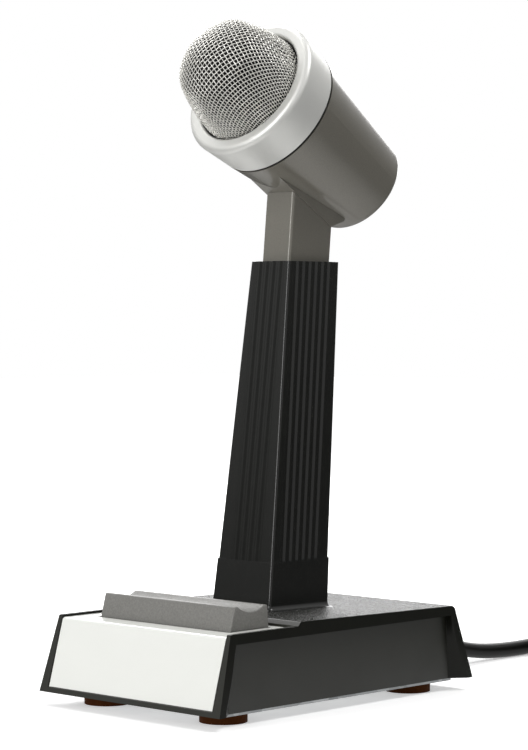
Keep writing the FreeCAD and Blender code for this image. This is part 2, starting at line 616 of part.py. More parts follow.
def make_terminal_board():
    board = body("terminal_board")
    outlines = [rectangle("board_width / 2", "board_y - board_depth / 2", "board_y + board_depth / 2")]
    outlines += [("circle", f"0 {sign} board_screw_x", "board_y", "board_screw_radius + screw_clear")
                 for _, sign in SIDES]
    extrude(board, sketch_on(board, "board_outline", "XY_Plane", outlines, "board_low"), "board_thick")
    tags = []
    for index in range(-2, 3):
        tags.append(box(f"tag_{index + 3}", f"{index} * tag_pitch - tag_width / 2",
                        "board_y + tag_row_y - tag_thick / 2", "board_low + board_thick",
                        "tag_width", "tag_thick", "tag_high"))
    group("terminal_tags", tags)
    screws = []
    for side, sign in SIDES:
        x = f"0 {sign} board_screw_x"
        head = cylinder(f"board_screw_{side}_head", "board_screw_head", "screw_head_high", x, "board_y",
                        "board_low + board_thick")
        shank = cylinder(f"board_screw_{side}_shank", "board_screw_radius", "board_screw_long", x, "board_y",
                         "board_low + board_thick - board_screw_long")
        screws.append(fuse(f"board_screw_{side}", [head, shank]))
    group("board_screws", screws)


# --------------------------------------------------------------------------------------------
# Talk bar and leaf switch
# --------------------------------------------------------------------------------------------
def make_press_bar():
    bar = body("press_bar")
    ridge_front = "bar_front_top + bar_ridge_front"
    ridge_rear = "bar_rear_top - bar_ridge_rear"
    profile = [("bar_front", "bar_bottom"), ("bar_rear", "bar_bottom"), ("bar_rear", "bar_deck_line"),
               ("bar_rear_top", "bar_top_rear"), (ridge_rear, "bar_top_rear"),
               (ridge_front, "bar_top", "-groove_radius"), ("bar_front_top", "bar_top"),
               ("bar_front", "bar_deck_line")]
    extrude(bar, sketch_on(bar, "bar_profile", "YZ_Plane", [profile]), "bar_width", both=True)
    half = num("bar_width / 2")
    above = num("bar_deck_line") + 1
    round_edges(bar, "bar_edge_round",
                lambda a, b: (abs(a.x - b.x) > half and min(a.z, b.z) > above and abs(a.y - b.y) < 0.01)
                or (abs(a.x - b.x) < 0.01 and max(a.z, b.z) > above))
    inside = rectangle("bar_width / 2 - bar_wall", "bar_front + bar_wall", "bar_rear - bar_wall")
    extrude(bar, sketch_on(bar, "bar_hollow", "XY_Plane", [inside], "bar_bottom"),
            "bar_deck_line + bar_skin - bar_bottom", cuts=True, back=True)
    nub = rectangle("nub_half_width", "nub_y - nub_depth / 2", "nub_y + nub_depth / 2")
    extrude(bar, sketch_on(bar, "bar_nub", "XY_Plane", [nub], "leaf_top + rest_gap"),
            "bar_deck_line + bar_skin + bar_edge_round - leaf_top - rest_gap")
    arm = [("bar_rear - bar_wall", "arm_low"), ("pivot_y", "pivot_z - arm_eye"),
           ("pivot_y", "pivot_z + arm_eye", "arm_eye"), ("pivot_y - arm_eye * 2", "arm_top"),
           ("bar_rear - bar_wall", "arm_top")]
    eye = ("circle", "pivot_y", "pivot_z", "pin_radius + running_gap")
    side = extrude(bar, sketch_on(bar, "bar_arm", "YZ_Plane", [arm, eye], "arm_x"), "arm_thick")
    mirror(bar, side, cuts=False)


def make_pivot():
    keep(cylinder("bar_pivot_pin", "pin_radius", "2 * pin_half", "-pin_half", "pivot_y", "pivot_z", ALONG_X),
         "bar_pivot_pin")
    clips = []
    for side, x in (("left", "-(lug_x + lug_thick + clip_thick)"), ("right", "lug_x + lug_thick")):
        disc = cylinder(f"clip_{side}_disc", "clip_radius", "clip_thick", x, "pivot_y", "pivot_z", ALONG_X)
        hole = cylinder(f"clip_{side}_hole", "pin_radius", "clip_thick", x, "pivot_y", "pivot_z", ALONG_X)
        clips.append(cut(f"clip_{side}", disc, hole))
    group("pin_clips", clips)


def slab(label, low_z, thick, reach, half_width, holes=True):
    """One strip of the switch stack, from its clamped end forward to its reach."""
    strip = body(label, finished=False)
    outline = rectangle(half_width, f"switch_y - {reach}", "switch_y + switch_half_length")
    outlines = [outline]
    if holes:
        outlines += [("circle", f"0 {sign} switch_screw_x", "switch_y", "switch_screw_radius + screw_clear")
                     for _, sign in SIDES]
    extrude(strip, sketch_on(strip, label + "_outline", "XY_Plane", outlines, low_z), thick)
    return strip


def make_leaf(label, top, reach, contact_up):
    """A contact spring: a wide clamped end, a narrow blade and a contact rivet."""
    blade = box(label + "_blade", "-leaf_half_width", f"switch_y - {reach}", f"{top} - leaf_thick",
                "2 * leaf_half_width", f"{reach} - switch_half_length + leaf_thick", "leaf_thick")
    root = slab(label + "_root", f"{top} - leaf_thick", "leaf_thick", "switch_half_length", "switch_half_width")
    rivet_z = f"{top}" if contact_up else f"{top} - leaf_thick - leaf_thick"
    rivet = cylinder(label + "_contact", "contact_radius", "leaf_thick", "0",
                     "switch_y - leaf_low_reach + contact_radius * 2", rivet_z)
    return fuse(label, [blade, root, rivet])


def make_switch():
    group("switch_leaves", [make_leaf("leaf_upper", "leaf_top", "leaf_reach", False),
                            make_leaf("leaf_lower", "leaf_two_top", "leaf_low_reach", True)])
    spacers = [slab(f"spacer_{index + 1}", low, "insulator_thick", "switch_half_length", "switch_half_width")
               for index, low in enumerate(("leaf_top", "leaf_two_top", "stack_low"))]
    group("switch_insulators", spacers)
    clamp = slab("switch_clamp", "stack_low - clamp_thick", "clamp_thick", "switch_half_length", "switch_half_width")
    keep(clamp, "switch_clamp")
    group("switch_screws", [
        screw(f"switch_screw_{side}", f"0 {sign} switch_screw_x", "switch_y", "stack_low - clamp_thick",
              "switch_screw_head", "screw_head_high", "switch_screw_radius",
              "switch_screw_tip - stack_low + clamp_thick")
        for side, sign in SIDES])


# --------------------------------------------------------------------------------------------
# Column
# --------------------------------------------------------------------------------------------
def column_outline(width, depth, middle_y, grow="0", radius="column_corner"):
    return rounded_rectangle(f"({width}) / 2 + ({grow})", f"({middle_y}) - ({depth}) / 2 - ({grow})",
                             f"({middle_y}) + ({depth}) / 2 + ({grow})", radius)


def shape_shaft(column):
    low = sketch_on(column, "shaft_low", "XY_Plane", [column_outline("band_width", "band_depth", "band_y")],
                    "band_z")
    high = sketch_on(column, "shaft_high", "XY_Plane",
                     [column_outline("column_top_width", "column_top_depth", "column_top_y")], "column_top_z")
    loft(column, low, high)


def face_turn(axis, slope):
    return Rotation(axis, math.degrees(math.atan(num(slope))))


def flute_face(column, name, role, middle, offset, turn, count, shear, lift="flute_clear"):
    """Grooves cut into one face of the shaft, parallel to its middle line."""
    sketch = column.newObject("Sketcher::SketchObject", name)
    sketch.AttachmentSupport = [(origin_plane(column, role), "")]
    sketch.MapMode = "FlatFace"
    sketch.AttachmentOffset = Placement(offset, turn).multiply(Placement(Vector(0, 0, num(lift)), Rotation()))
    high = "(column_top_z - band_z) * 1.02"
    for index in range(count):
        left = f"{middle} + ({index} - {(count - 1) / 2}) * flute_pitch - flute_width / 2"
        draw_outline(sketch, [(left, "0"), (f"{left} + flute_width", "0"),
                              (f"{left} + flute_width + {shear} * {high}", high), (f"{left} + {shear} * {high}", high)])
    return sketch


def cut_flutes(column):
    """Five grooves front and back, seven on each side; all end at the plain band."""
    rise = Vector(0, num("band_z"), 0)
    front_slope = "(column_top_y - column_top_depth / 2 - band_y + band_depth / 2) / (column_top_z - band_z)"
    rear_slope = "(column_top_y + column_top_depth / 2 - band_y - band_depth / 2) / (column_top_z - band_z)"
    front_y = num("band_y - band_depth / 2")
    rear_y = num("band_y + band_depth / 2")
    front = flute_face(column, "flutes_front", "XZ_Plane", "0", rise + Vector(0, 0, -front_y),
                       face_turn(Vector(-1, 0, 0), front_slope), 5, "0")
    extrude(column, front, "flute_depth + flute_clear", cuts=True)
    rear = flute_face(column, "flutes_rear", "XZ_Plane", "0", rise + Vector(0, 0, -rear_y),
                      face_turn(Vector(-1, 0, 0), rear_slope), 5, "0", "-flute_clear")
    extrude(column, rear, "flute_depth + flute_clear", cuts=True, back=True)
    side = flute_face(column, "flutes_side", "YZ_Plane", "band_y", rise + Vector(0, 0, num("band_width / 2")),
                      face_turn(Vector(-1, 0, 0), "widen / 2"), 7, "lean")
    mirror(column, extrude(column, side, "flute_depth + flute_clear", cuts=True), cuts=True)


def add_band_and_foot(column):
    low = sketch_on(column, "band_low", "XY_Plane",
                    [column_outline("low_width", "low_depth", "low_y", "band_proud")], "foot_plane_z", TOP_TILT)
    high = sketch_on(column, "band_high", "XY_Plane",
                     [column_outline("band_width", "band_depth", "band_y", "band_proud")], "band_z")
    loft(column, low, high)
    outline = column_outline("low_width", "low_depth", "low_y", "foot_flange", "(column_corner + foot_flange)")
    flange = sketch_on(column, "foot_outline", "XY_Plane", [outline], "foot_plane_z", TOP_TILT)
    extrude(column, flange, "foot_sink", back=True)


def bore_rear(depth):
    """The neck bore's rear wall, which carries on straight down to the column's foot."""
    return f"neck_top_y - neck_slope * ({depth}) + neck_gap_y"


def hollow_column(column):
    floor = "column_low_z - step_run"
    shoulder = "column_top_z - bore_length"
    low = sketch_on(column, "hollow_low", "XY_Plane",
                    [rounded_rectangle("low_width / 2 - column_wall", "low_y - low_depth / 2 + column_wall",
                                       bore_rear("column_top_z - column_low_z + step_run"), "column_corner")], floor)
    middle_y = "column_top_y - lean * bore_length"
    depth = "(column_top_depth + deepen * bore_length)"
    high = sketch_on(column, "hollow_high", "XY_Plane",
                     [rounded_rectangle("(column_top_width + widen * bore_length) / 2 - column_wall - flute_depth",
                                        f"{middle_y} - {depth} / 2 + column_wall + flute_depth",
                                        bore_rear("bore_length"), "column_corner")], shoulder)
    loft(column, low, high, cuts=True)
    depth = "bore_length + step_run"
    bore_low = sketch_on(column, "bore_low", "XY_Plane",
                         [rectangle("neck_width / 2 + neck_gap", f"neck_top_y - neck_slope * ({depth}) - neck_gap_y",
                                    f"neck_top_y - neck_slope * ({depth}) + neck_gap_y")],
                         f"column_top_z - ({depth})")
    bore_high = sketch_on(column, "bore_high", "XY_Plane",
                          [rectangle("neck_width / 2 + neck_gap", "neck_top_y + neck_slope - neck_gap_y",
                                     "neck_top_y + neck_slope + neck_gap_y")], "column_top_z + 1")
    loft(column, bore_low, bore_high, cuts=True)


def cut_spring_pocket(column):
    depth_low = "(spring_low + spring_length)"
    wall = "neck_top_y - neck_gap_y"

    def outline(depth):
        return rectangle("spring_width / 2 + rest_gap", f"{wall} - neck_slope * {depth} - spring_pocket",
                         f"{wall} - neck_slope * {depth} + 1")
    low = sketch_on(column, "pocket_low", "XY_Plane", [outline(depth_low)], f"column_top_z - {depth_low}")
    high = sketch_on(column, "pocket_high", "XY_Plane", [outline("spring_low")], "column_top_z - spring_low")
    loft(column, low, high, cuts=True)


def add_column_bosses(column):
    bosses = []
    holes = []
    for _, x, y in CORNERS:
        middle = (f"{x} column_boss_x", f"low_y + ({y} column_boss_spread)")
        bosses.append(("circle", *middle, "column_boss_radius"))
        holes.append(("circle", *middle, "column_screw_radius + screw_clear"))
    extrude(column, sketch_on(column, "column_bosses", "XY_Plane", bosses, "foot_plane_z"), "column_boss_high")
    extrude(column, sketch_on(column, "column_boss_holes", "XY_Plane", holes, "column_low_z - step_run"),
            "column_boss_high", cuts=True, back=True)


def make_column():
    column = body("column")
    shape_shaft(column)
    cut_flutes(column)
    add_band_and_foot(column)
    hollow_column(column)
    cut_spring_pocket(column)
    add_column_bosses(column)
    group("column_screws", [
        screw(f"column_screw_{corner}", f"{x} column_boss_x", f"low_y + ({y} column_boss_spread)", "roof_under",
              "column_screw_head", "screw_head_high", "column_screw_radius", "column_screw_long")
        for corner, x, y in CORNERS])


# --------------------------------------------------------------------------------------------
# Neck
# --------------------------------------------------------------------------------------------
def head_cone(name, grow):
    """The housing's outer cone, grown all round, as a tool for what seats on it."""
    cone = doc.addObject("Part::Cone", name)
    bind(cone, Radius1=f"head_rear_radius + {grow}", Radius2=f"head_radius + {grow}", Height="head_long")
    shift = HEAD_TILT.multVec(Vector(0, 0, -num("head_long")))
    cone.Placement = Placement(Vector(0, num("head_y"), num("head_z")) + shift, HEAD_TILT)
    return cone


def make_neck():
    """A rectangular stem with the saddle under the head; solid above the web, hollow below it."""
    stem = body("neck_stem", finished=False)
    place(stem, "0", "neck_top_y", "column_top_z", NECK_TILT)
    outline = rectangle("neck_width / 2", "-neck_depth / 2", "neck_depth / 2")
    extrude(stem, sketch_on(stem, "stem_outline", "XY_Plane", [outline], "-neck_below"), "neck_below + neck_above")
    round_edges(stem, "neck_corner", lambda a, b: abs(a.z - b.z) > num("neck_below"))
    inside = rectangle("neck_width / 2 - neck_wall", "-neck_depth / 2 + neck_wall", "neck_depth / 2 - neck_wall")
    extrude(stem, sketch_on(stem, "stem_hollow", "XY_Plane", [inside], "-neck_below"), "neck_below + web_above",
            cuts=True, back=True)
    wire = ("circle", "0", "-neck_depth / 4", "neck_wire_radius")
    extrude(stem, sketch_on(stem, "stem_wire", "XY_Plane", [wire], "0"), "neck_above + 1", cuts=True, back=True)

    saddle = body("neck_saddle", finished=False)
    place(saddle, "0", "head_y", "head_z", HEAD_TILT)
    deep = "-saddle_heel_radius / 2"
    outline = [("-saddle_front", "-saddle_nose"), (deep, "-saddle_nose"), (deep, "-saddle_heel"),
               ("-saddle_heel_radius", "-saddle_heel"), ("-saddle_rear", "-saddle_back")]
    extrude(saddle, sketch_on(saddle, "saddle_side", "YZ_Plane", [outline]), "saddle_width", both=True)
    whole = fuse("neck_whole", [stem, saddle])
    tools = [head_cone("neck_seat", "seat_gap")]
    tools += [head_screw_cylinder(f"neck_tap_{name}", s, "head_screw_radius + screw_clear", "head_screw_long + 1")
              for name, s in HEAD_SCREWS]
    inner_stem = cylinder("neck_wire_way", "neck_wire_radius", "neck_above")
    inner_stem.Placement = Placement(Vector(0, num("neck_top_y"), num("column_top_z")), NECK_TILT).multiply(
        Placement(Vector(0, -num("neck_depth / 4"), num("web_above")), Rotation()))
    tools.append(inner_stem)
    keep(cut("neck", whole, fuse("neck_tools", tools)), "neck")


HEAD_SCREWS = [("front", "head_screw_front"), ("rear", "head_screw_rear")]


def head_screw_cylinder(name, distance, radius, length, start="head_screw_seat"):
    """A cylinder pointing out of the head's underside, its foot at a distance from the axis."""
    item = doc.addObject("Part::Cylinder", name)
    bind(item, Radius=radius, Height=length)
    frame = Placement(Vector(0, num("head_y"), num("head_z")), HEAD_TILT)
    local = Placement(Vector(0, -num(start), -num(distance)), Rotation(Vector(1, 0, 0), 90))
    item.Placement = frame.multiply(local)
    return item


def make_neck_fittings():
    stop = body("neck_stop")
    place(stop, "0", "neck_top_y", "column_top_z", NECK_TILT)
    rings = [rectangle("neck_width / 2 + stop_overlap", "-neck_depth / 2 - stop_overlap", "neck_depth / 2"),
             rectangle("neck_width / 2 - neck_wall", "-neck_depth / 2 + neck_wall", "neck_depth / 2 - neck_wall")]
    extrude(stop, sketch_on(stop, "stop_ring", "XY_Plane", rings, "-neck_below - stop_thick"), "stop_thick")
    spring = body("neck_spring")
    place(spring, "0", "neck_top_y", "column_top_z", NECK_TILT)
    inner = "-neck_depth / 2 - neck_gap - spring_pocket"
    shift = "neck_slope * (neck_gap_y + spring_pocket)"
    top = f"-spring_low - {shift} - rest_gap"
    low = f"-spring_low - {shift} - spring_length + rest_gap"
    bow = "(spring_length ^ 2) / (8 * (spring_pocket - spring_thick / 2))"
    outline = [(f"{inner} + rest_gap / 3 + spring_thick", low), (f"{inner} + rest_gap / 3 + spring_thick", top, bow),
               (f"{inner} + rest_gap / 3", top), (f"{inner} + rest_gap / 3", low, f"-({bow})")]
    extrude(spring, sketch_on(spring, "spring_side", "YZ_Plane", [outline]), "spring_width", both=True)


# --------------------------------------------------------------------------------------------
# Head
# --------------------------------------------------------------------------------------------
def head_body(label):
    item = body(label)
    return place(item, "0", "head_y", "head_z", HEAD_TILT)


def make_head_housing():
    housing = head_body("head_housing")
    cap_edge = "-(head_end - cap_face_drop)"
    outline = [("head_radius - cone_slope * gasket_half", "-gasket_half"),
               ("head_radius - head_wall", "-gasket_half"),
               ("head_rear_radius - head_wall", "-head_long"),
               ("cap_face_radius - head_wall", f"{cap_edge} + head_wall"),
               ("0", "-head_end + head_wall"), ("0", "-head_end"),
               ("cap_face_radius", cap_edge, "cap_radius"),
               ("head_rear_radius", "-head_long", "cap_shoulder")]
    spin(housing, outline)
    for name, distance in HEAD_SCREWS:
        pad = ("circle", "0", f"-({distance})", "screw_pad_radius")
        extrude(housing, sketch_on(housing, f"housing_pad_{name}", "XZ_Plane", [pad], "head_screw_seat"),
                f"head_radius - cone_slope * {distance} - head_wall / 2 - head_screw_seat")
    holes = [("circle", "0", f"-({distance})", "head_screw_radius + screw_clear") for _, distance in HEAD_SCREWS]
    holes.append(("circle", "0", "-(head_screw_front + head_screw_rear) / 2", "neck_wire_radius"))
    extrude(housing, sketch_on(housing, "housing_holes", "XZ_Plane", holes, "head_screw_seat - 1"), "head_radius",
            cuts=True, back=True)


def make_head_screws():
    screws = []
    for name, distance in HEAD_SCREWS:
        shank = head_screw_cylinder(f"head_screw_{name}_shank", distance, "head_screw_radius", "head_screw_long")
        head = head_screw_cylinder(f"head_screw_{name}_head", distance, "head_screw_head", "screw_head_high",
                                   "head_screw_seat - screw_head_high")
        screws.append(fuse(f"head_screw_{name}", [shank, head]))
    group("head_screws", screws)


def make_front_ring():
    gasket = head_body("head_gasket")
    spin(gasket, [("gasket_bore", "-gasket_half"), ("head_radius - gasket_inset", "-gasket_half"),
                  ("head_radius - gasket_inset", "gasket_half"), ("gasket_bore", "gasket_half")])
    ring = head_body("bezel_ring")
    shoulder = "gasket_half + ring_seat_thick"
    spin(ring, [("ring_seat_radius", "gasket_half"), ("head_radius", "gasket_half"),
                ("ring_front_radius", "ring_long - ring_lip"),
                ("ring_front_radius - ring_lip", "ring_long", "ring_lip * 1.001"),
                ("opening_radius + ring_mouth_round", "ring_long"),
                ("opening_radius", "ring_long - ring_mouth_round", "ring_mouth_round * 1.001"),
                ("opening_radius", shoulder), ("ring_seat_radius", shoulder)])


def dome(inset, foot):
    """Outer side of the screen, or a layer inside it, from the foot to the crown."""
    return [(f"opening_radius - grille_gap - ({inset})", foot),
            (f"opening_radius - grille_gap - ({inset})", "grille_skirt_top"),
            (f"grille_waist_r - ({inset})", "grille_waist_s"),
            (f"grille_shoulder_r - ({inset})", f"grille_shoulder_s - ({inset}) / 3")]


def crown_radius(edge):
    """The sphere that passes over the axis at the apex and through a ring at the crown's edge."""
    rise = "(grille_apex - grille_crown_s)"
    return f"(({edge} ^ 2 + {rise} ^ 2) / (2 * {rise}))"


def make_grille():
    """The woven screen as one thin closed dome."""
    grille = head_body("grille")
    foot = "gasket_half + ring_seat_thick"
    outer = dome("0", foot)
    inner = dome("grille_thick", foot)
    inner.reverse()
    outline = outer + [("grille_crown_r", "grille_crown_s", "grille_shoulder_radius"),
                       ("0", "grille_apex", crown_radius("grille_crown_r")), ("0", "grille_apex - grille_thick"),
                       ("grille_crown_r - grille_thick / 2", "grille_crown_s - grille_thick",
                        "-" + crown_radius("(grille_crown_r - grille_thick / 2)"))]
    spin(grille, outline + inner)
    foam = head_body("grille_foam")
    gap = "grille_thick + seat_gap * 2"
    deep = f"{gap} + foam_thick"
    inner = dome(deep, foot)
    inner.reverse()
    outline = dome(gap, foot) + [(f"grille_crown_r - ({gap})", f"grille_crown_s - ({gap})"),
                                 ("0", f"grille_apex - ({gap}) * 1.6"), ("0", f"grille_apex - ({deep}) * 1.6"),
                                 (f"grille_crown_r - ({deep})", f"grille_crown_s - ({deep})")]
    spin(foam, outline + inner)


def make_cartridge():
    rear = "capsule_front - capsule_long"
    case = head_body("cartridge_case")
    spin(case, [("0", rear), ("capsule_radius", rear), ("capsule_radius", "capsule_front"),
                ("capsule_radius - capsule_wall", "capsule_front"),
                ("capsule_radius - capsule_wall", f"{rear} + capsule_wall"), ("0", f"{rear} + capsule_wall")])
    magnet = head_body("cartridge_magnet")
    spin(magnet, [("0", f"{rear} + capsule_wall"), ("magnet_radius", f"{rear} + capsule_wall"),
                  ("magnet_radius", f"{rear} + capsule_wall + magnet_long"),
                  ("0", f"{rear} + capsule_wall + magnet_long")])
    front = head_body("cartridge_front")
    spin(front, [("0", "capsule_front"), ("capsule_radius", "capsule_front"),
                 ("capsule_radius", "capsule_front + front_thick / 2"),
                 ("capsule_radius - front_thick / 2", "capsule_front + front_thick"),
                 ("0", "capsule_front + front_thick")])
    ports = [("circle", f"{round(math.cos(math.radians(60 * n)), 6)} * capsule_radius / 2",
              f"{round(math.sin(math.radians(60 * n)), 6)} * capsule_radius / 2", "contact_radius")
             for n in range(6)]
    extrude(front, sketch_on(front, "front_ports", "XY_Plane", ports, "capsule_front + front_thick"),
            "front_thick", cuts=True)
    mount = head_body("cartridge_mount")
    low = "mount_s - mount_thick / 2"
    high = "mount_s + mount_thick / 2"
    outer = "head_radius - head_wall - seat_gap * 2"
    spin(mount, [("capsule_radius", low), (f"{outer} + cone_slope * ({low})", low),
                 (f"{outer} + cone_slope * ({high})", high), ("capsule_radius", high)])


# --------------------------------------------------------------------------------------------
# Cord, strain relief, coil and plug
# --------------------------------------------------------------------------------------------
def make_strain_relief():
    relief = body("strain_relief")
    place(relief, "0", "0", "cord_exit_z", ALONG_Y)
    spin(relief, [("0", "relief_inner_y"), ("relief_collar_radius - rest_gap", "relief_inner_y"),
                  ("relief_collar_radius - rest_gap", "relief_inner_y + relief_flange"),
                  ("relief_neck_radius", "relief_inner_y + relief_flange"),
                  ("relief_neck_radius", "relief_collar_y"), ("relief_collar_radius", "relief_collar_y"),
                  ("relief_collar_radius", "relief_collar_y + relief_collar_thick"),
                  ("relief_root_radius", "relief_collar_y + relief_collar_thick"),
                  ("relief_tip_radius", "relief_tip_y"), ("0", "relief_tip_y")])


def rounded_path(points, label):
    """Straight runs joined by tangent arcs, each as large as its two runs allow."""
    edges = []
    start = points[0]
    radii = []
    for before, corner, after in zip(points, points[1:], points[2:]):
        run_in = corner - before
        run_out = after - corner
        half_turn = run_in.getAngle(run_out) / 2
        trim = 0.45 * min(run_in.Length, run_out.Length)
        radius = trim / math.tan(half_turn)
        way_in = Vector(run_in).normalize()
        way_out = Vector(run_out).normalize()
        inward = Vector(way_out - way_in).normalize()
        arc_start = corner - way_in * trim
        arc_end = corner + way_out * trim
        arc_middle = corner + inward * (radius / math.cos(half_turn) - radius)
        edges.append(Part.LineSegment(start, arc_start).toShape())
        edges.append(Part.Arc(arc_start, arc_middle, arc_end).toShape())
        radii.append(round(radius, 1))
        start = arc_end
    edges.append(Part.LineSegment(start, points[-1]).toShape())
    print(label, "arc radii", radii)
    return Part.Wire(edges)


def make_tube(label, points):
    """A round cord along a route, with its volume compared with section times length."""
    radius = num("cord_radius")
    path = rounded_path(points, label)
    ring = Part.Wire(Part.Circle(points[0], points[1] - points[0], radius).toShape())
    solid = path.makePipeShell([ring], True, False)
    expected = math.pi * radius ** 2 * path.Length
    if abs(solid.Volume / expected - 1) > 0.01:
        raise RuntimeError(f"{label}: volume {solid.Volume:.1f}, section times length {expected:.1f}")
    print(label, "length", round(path.Length, 1))
    item = doc.addObject("Part::Feature", label)
    item.Shape = solid
    item.Placement = Placement()
    return keep(item, label)


def make_cord():
    floor = num("cord_radius")
    enter_x = num("coil_x - coil_mid_radius - 2 * cord_radius")
    coil_y = num("coil_y")
    first_row = num("coil_lift + cord_radius")
    route = [Vector(0, num("relief_tip_y + rest_gap"), num("cord_exit_z")),
             Vector(0, 107, 10.4), Vector(-0.2, 121, 7.5), Vector(0, 137, 4.4), Vector(0.6, 154, floor + 0.05),
             Vector(1.4, 172, floor + 0.15), Vector(enter_x, 188, first_row),
             Vector(enter_x, coil_y - 2, first_row + 0.1)]
    make_tube("cord_lead", route)

    middle = Vector(num("coil_x - coil_mid_radius + plug_axis_offset"), coil_y, 0)
    turn = num("plug_axis_offset")
    near_side = turn * math.tan(math.radians(15))
    top_row = num("coil_top - cord_radius")
    plug_z = num("plug_z")
    tail = [middle + Vector(-turn, -near_side, top_row), middle + Vector(-turn, near_side, top_row + 2.8),
            middle + Vector(-turn * 0.732, turn * 0.732, top_row + 7.3),
            middle + Vector(-near_side, turn, plug_z - 0.8),
            Vector(num("boot_x - rest_gap"), num("plug_y"), plug_z)]
    make_tube("cord_tail", tail)


def make_coil():
    coil = body("cord_coil")
    place(coil, "coil_x", "coil_y")
    inner = "coil_mid_radius - coil_half_section"
    outer = "coil_mid_radius + coil_half_section"
    spin(coil, [(f"{inner} + coil_round", "coil_lift", "coil_round * 1.001"),
                (f"{outer} - coil_round", "coil_lift"),
                (outer, "coil_lift + coil_round", "coil_round * 1.001"), (outer, "coil_top - coil_round"),
                (f"{outer} - coil_round", "coil_top", "coil_round * 1.001"), (f"{inner} + coil_round", "coil_top"),
                (inner, "coil_top - coil_round", "coil_round * 1.001"), (inner, "coil_lift + coil_round")])
    low_x = "coil_x + coil_mid_radius - coil_half_section - tie_side_gap"
    width = "2 * (coil_half_section + tie_side_gap)"
    high = "coil_top - coil_lift + 2 * tie_gap"
    outside = box("tie_outside", f"{low_x} - tie_thick", "coil_y - tie_width / 2", "coil_lift - tie_gap - tie_thick",
                  f"{width} + 2 * tie_thick", "tie_width", f"{high} + 2 * tie_thick")
    inside = box("tie_inside", low_x, "coil_y - tie_width", "coil_lift - tie_gap", width, "2 * tie_width", high)
    keep(cut("coil_tie", outside, inside), "coil_tie")


def plug_body(label, start):
    """A turned plug piece, its axis along +X from a distance behind the boot's end."""
    item = body(label)
    return place(item, f"boot_x + {start}", "plug_y", "plug_z", ALONG_X)


def make_plug():
    boot = plug_body("plug_boot", "0")
    spin(boot, [("0", "0"), ("boot_tip_radius", "0"), ("boot_radius", "boot_long"), ("0", "boot_long")])
    handle = plug_body("plug_handle", "boot_long")
    spin(handle, [("0", "0"), ("boot_radius + 1", "0"), ("handle_radius", "handle_long / 6"),
                  ("handle_radius", "handle_long"), ("0", "handle_long")])
    shield = plug_body("plug_shield", "boot_long + handle_long")
    spin(shield, [("shield_radius - shield_wall", "0"), ("shield_radius", "0"), ("shield_radius", "shield_long"),
                  ("shield_radius - shield_wall", "shield_long")])
    insert = plug_body("plug_insert", "boot_long + handle_long")
    spin(insert, [("0", "0"), ("shield_radius - shield_wall - seat_gap", "0"),
                  ("shield_radius - shield_wall - seat_gap", "insert_long"), ("0", "insert_long")])
    pins = []
    for index in range(5):
        angle = math.radians(45 * index)
        pins.append(cylinder(f"plug_pin_{index + 1}", "plug_pin_radius", "pin_reach - insert_long",
                             "boot_x + boot_long + handle_long + insert_long",
                             f"plug_y + {round(math.cos(angle), 6)} * pin_circle",
                             f"plug_z + {round(math.sin(angle), 6)} * pin_circle", ALONG_X))
    group("plug_pins", pins)


# --------------------------------------------------------------------------------------------
# Build, check and write
# --------------------------------------------------------------------------------------------
def build():
    make_base_cover()
    make_front_plate()
    make_bottom_plate()
    make_feet_and_screws()
    make_ballast()
    make_terminal_board()
    make_press_bar()
    make_pivot()
    make_switch()
    make_column()
    make_neck()
    make_neck_fittings()
    make_head_housing()
    make_head_screws()
    make_front_ring()
    make_grille()
    make_cartridge()
    make_strain_relief()
    make_cord()
    make_coil()
    make_plug()


def check_and_write():
    doc.recompute()
    for item in doc.Objects:
        if "Invalid" in item.State or "Error" in item.State:
            raise RuntimeError(f"{item.Name} failed: {item.State}")
    for item in PIECES:
        if item.Shape.isNull() or not item.Shape.isValid() or not item.Shape.Solids:
            raise RuntimeError(f"{item.Label} has no valid solid")
    os.makedirs("parts", exist_ok=True)
    for item in PIECES:
        item.Shape.exportStep(f"parts/{item.Label}.step")
        print(item.Label, len(item.Shape.Solids), round(item.Shape.Volume, 1))


build()
check_and_write()
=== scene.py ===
import math

import bmesh
import bpy
from mathutils import Matrix, Vector


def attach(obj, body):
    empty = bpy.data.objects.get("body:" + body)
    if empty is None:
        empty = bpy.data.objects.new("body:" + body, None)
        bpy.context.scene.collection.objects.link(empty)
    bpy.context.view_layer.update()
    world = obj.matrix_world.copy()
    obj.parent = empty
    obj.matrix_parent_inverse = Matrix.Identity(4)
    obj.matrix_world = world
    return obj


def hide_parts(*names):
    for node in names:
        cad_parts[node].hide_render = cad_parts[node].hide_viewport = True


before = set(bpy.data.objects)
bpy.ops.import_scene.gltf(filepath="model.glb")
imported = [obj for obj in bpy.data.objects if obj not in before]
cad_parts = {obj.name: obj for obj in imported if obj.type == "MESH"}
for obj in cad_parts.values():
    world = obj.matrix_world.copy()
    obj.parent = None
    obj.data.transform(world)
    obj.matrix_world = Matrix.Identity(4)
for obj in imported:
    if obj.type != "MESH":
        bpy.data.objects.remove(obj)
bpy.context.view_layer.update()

MM = 0.001


# --------------------------------------------------------------------------------------------
# Colours and nodes
# --------------------------------------------------------------------------------------------
def linear(hex_colour):
    """An sRGB hex colour as the linear values that Blender's sockets take."""
    values = [int(hex_colour[i:i + 2], 16) / 255 for i in (1, 3, 5)]
    return [v / 12.92 if v <= 0.04045 else ((v + 0.055) / 1.055) ** 2.4 for v in values] + [1.0]


def add(tree, kind, inputs=None, **settings):
    """Add a node. An input is a plain value, or the output of another node."""
    made = tree.nodes.new(kind)
    for name, value in settings.items():
        setattr(made, name, value)
    for name, value in (inputs or {}).items():
        if isinstance(value, bpy.types.NodeSocket):
            tree.links.new(value, made.inputs[name])
        else:
            made.inputs[name].default_value = value
    return made


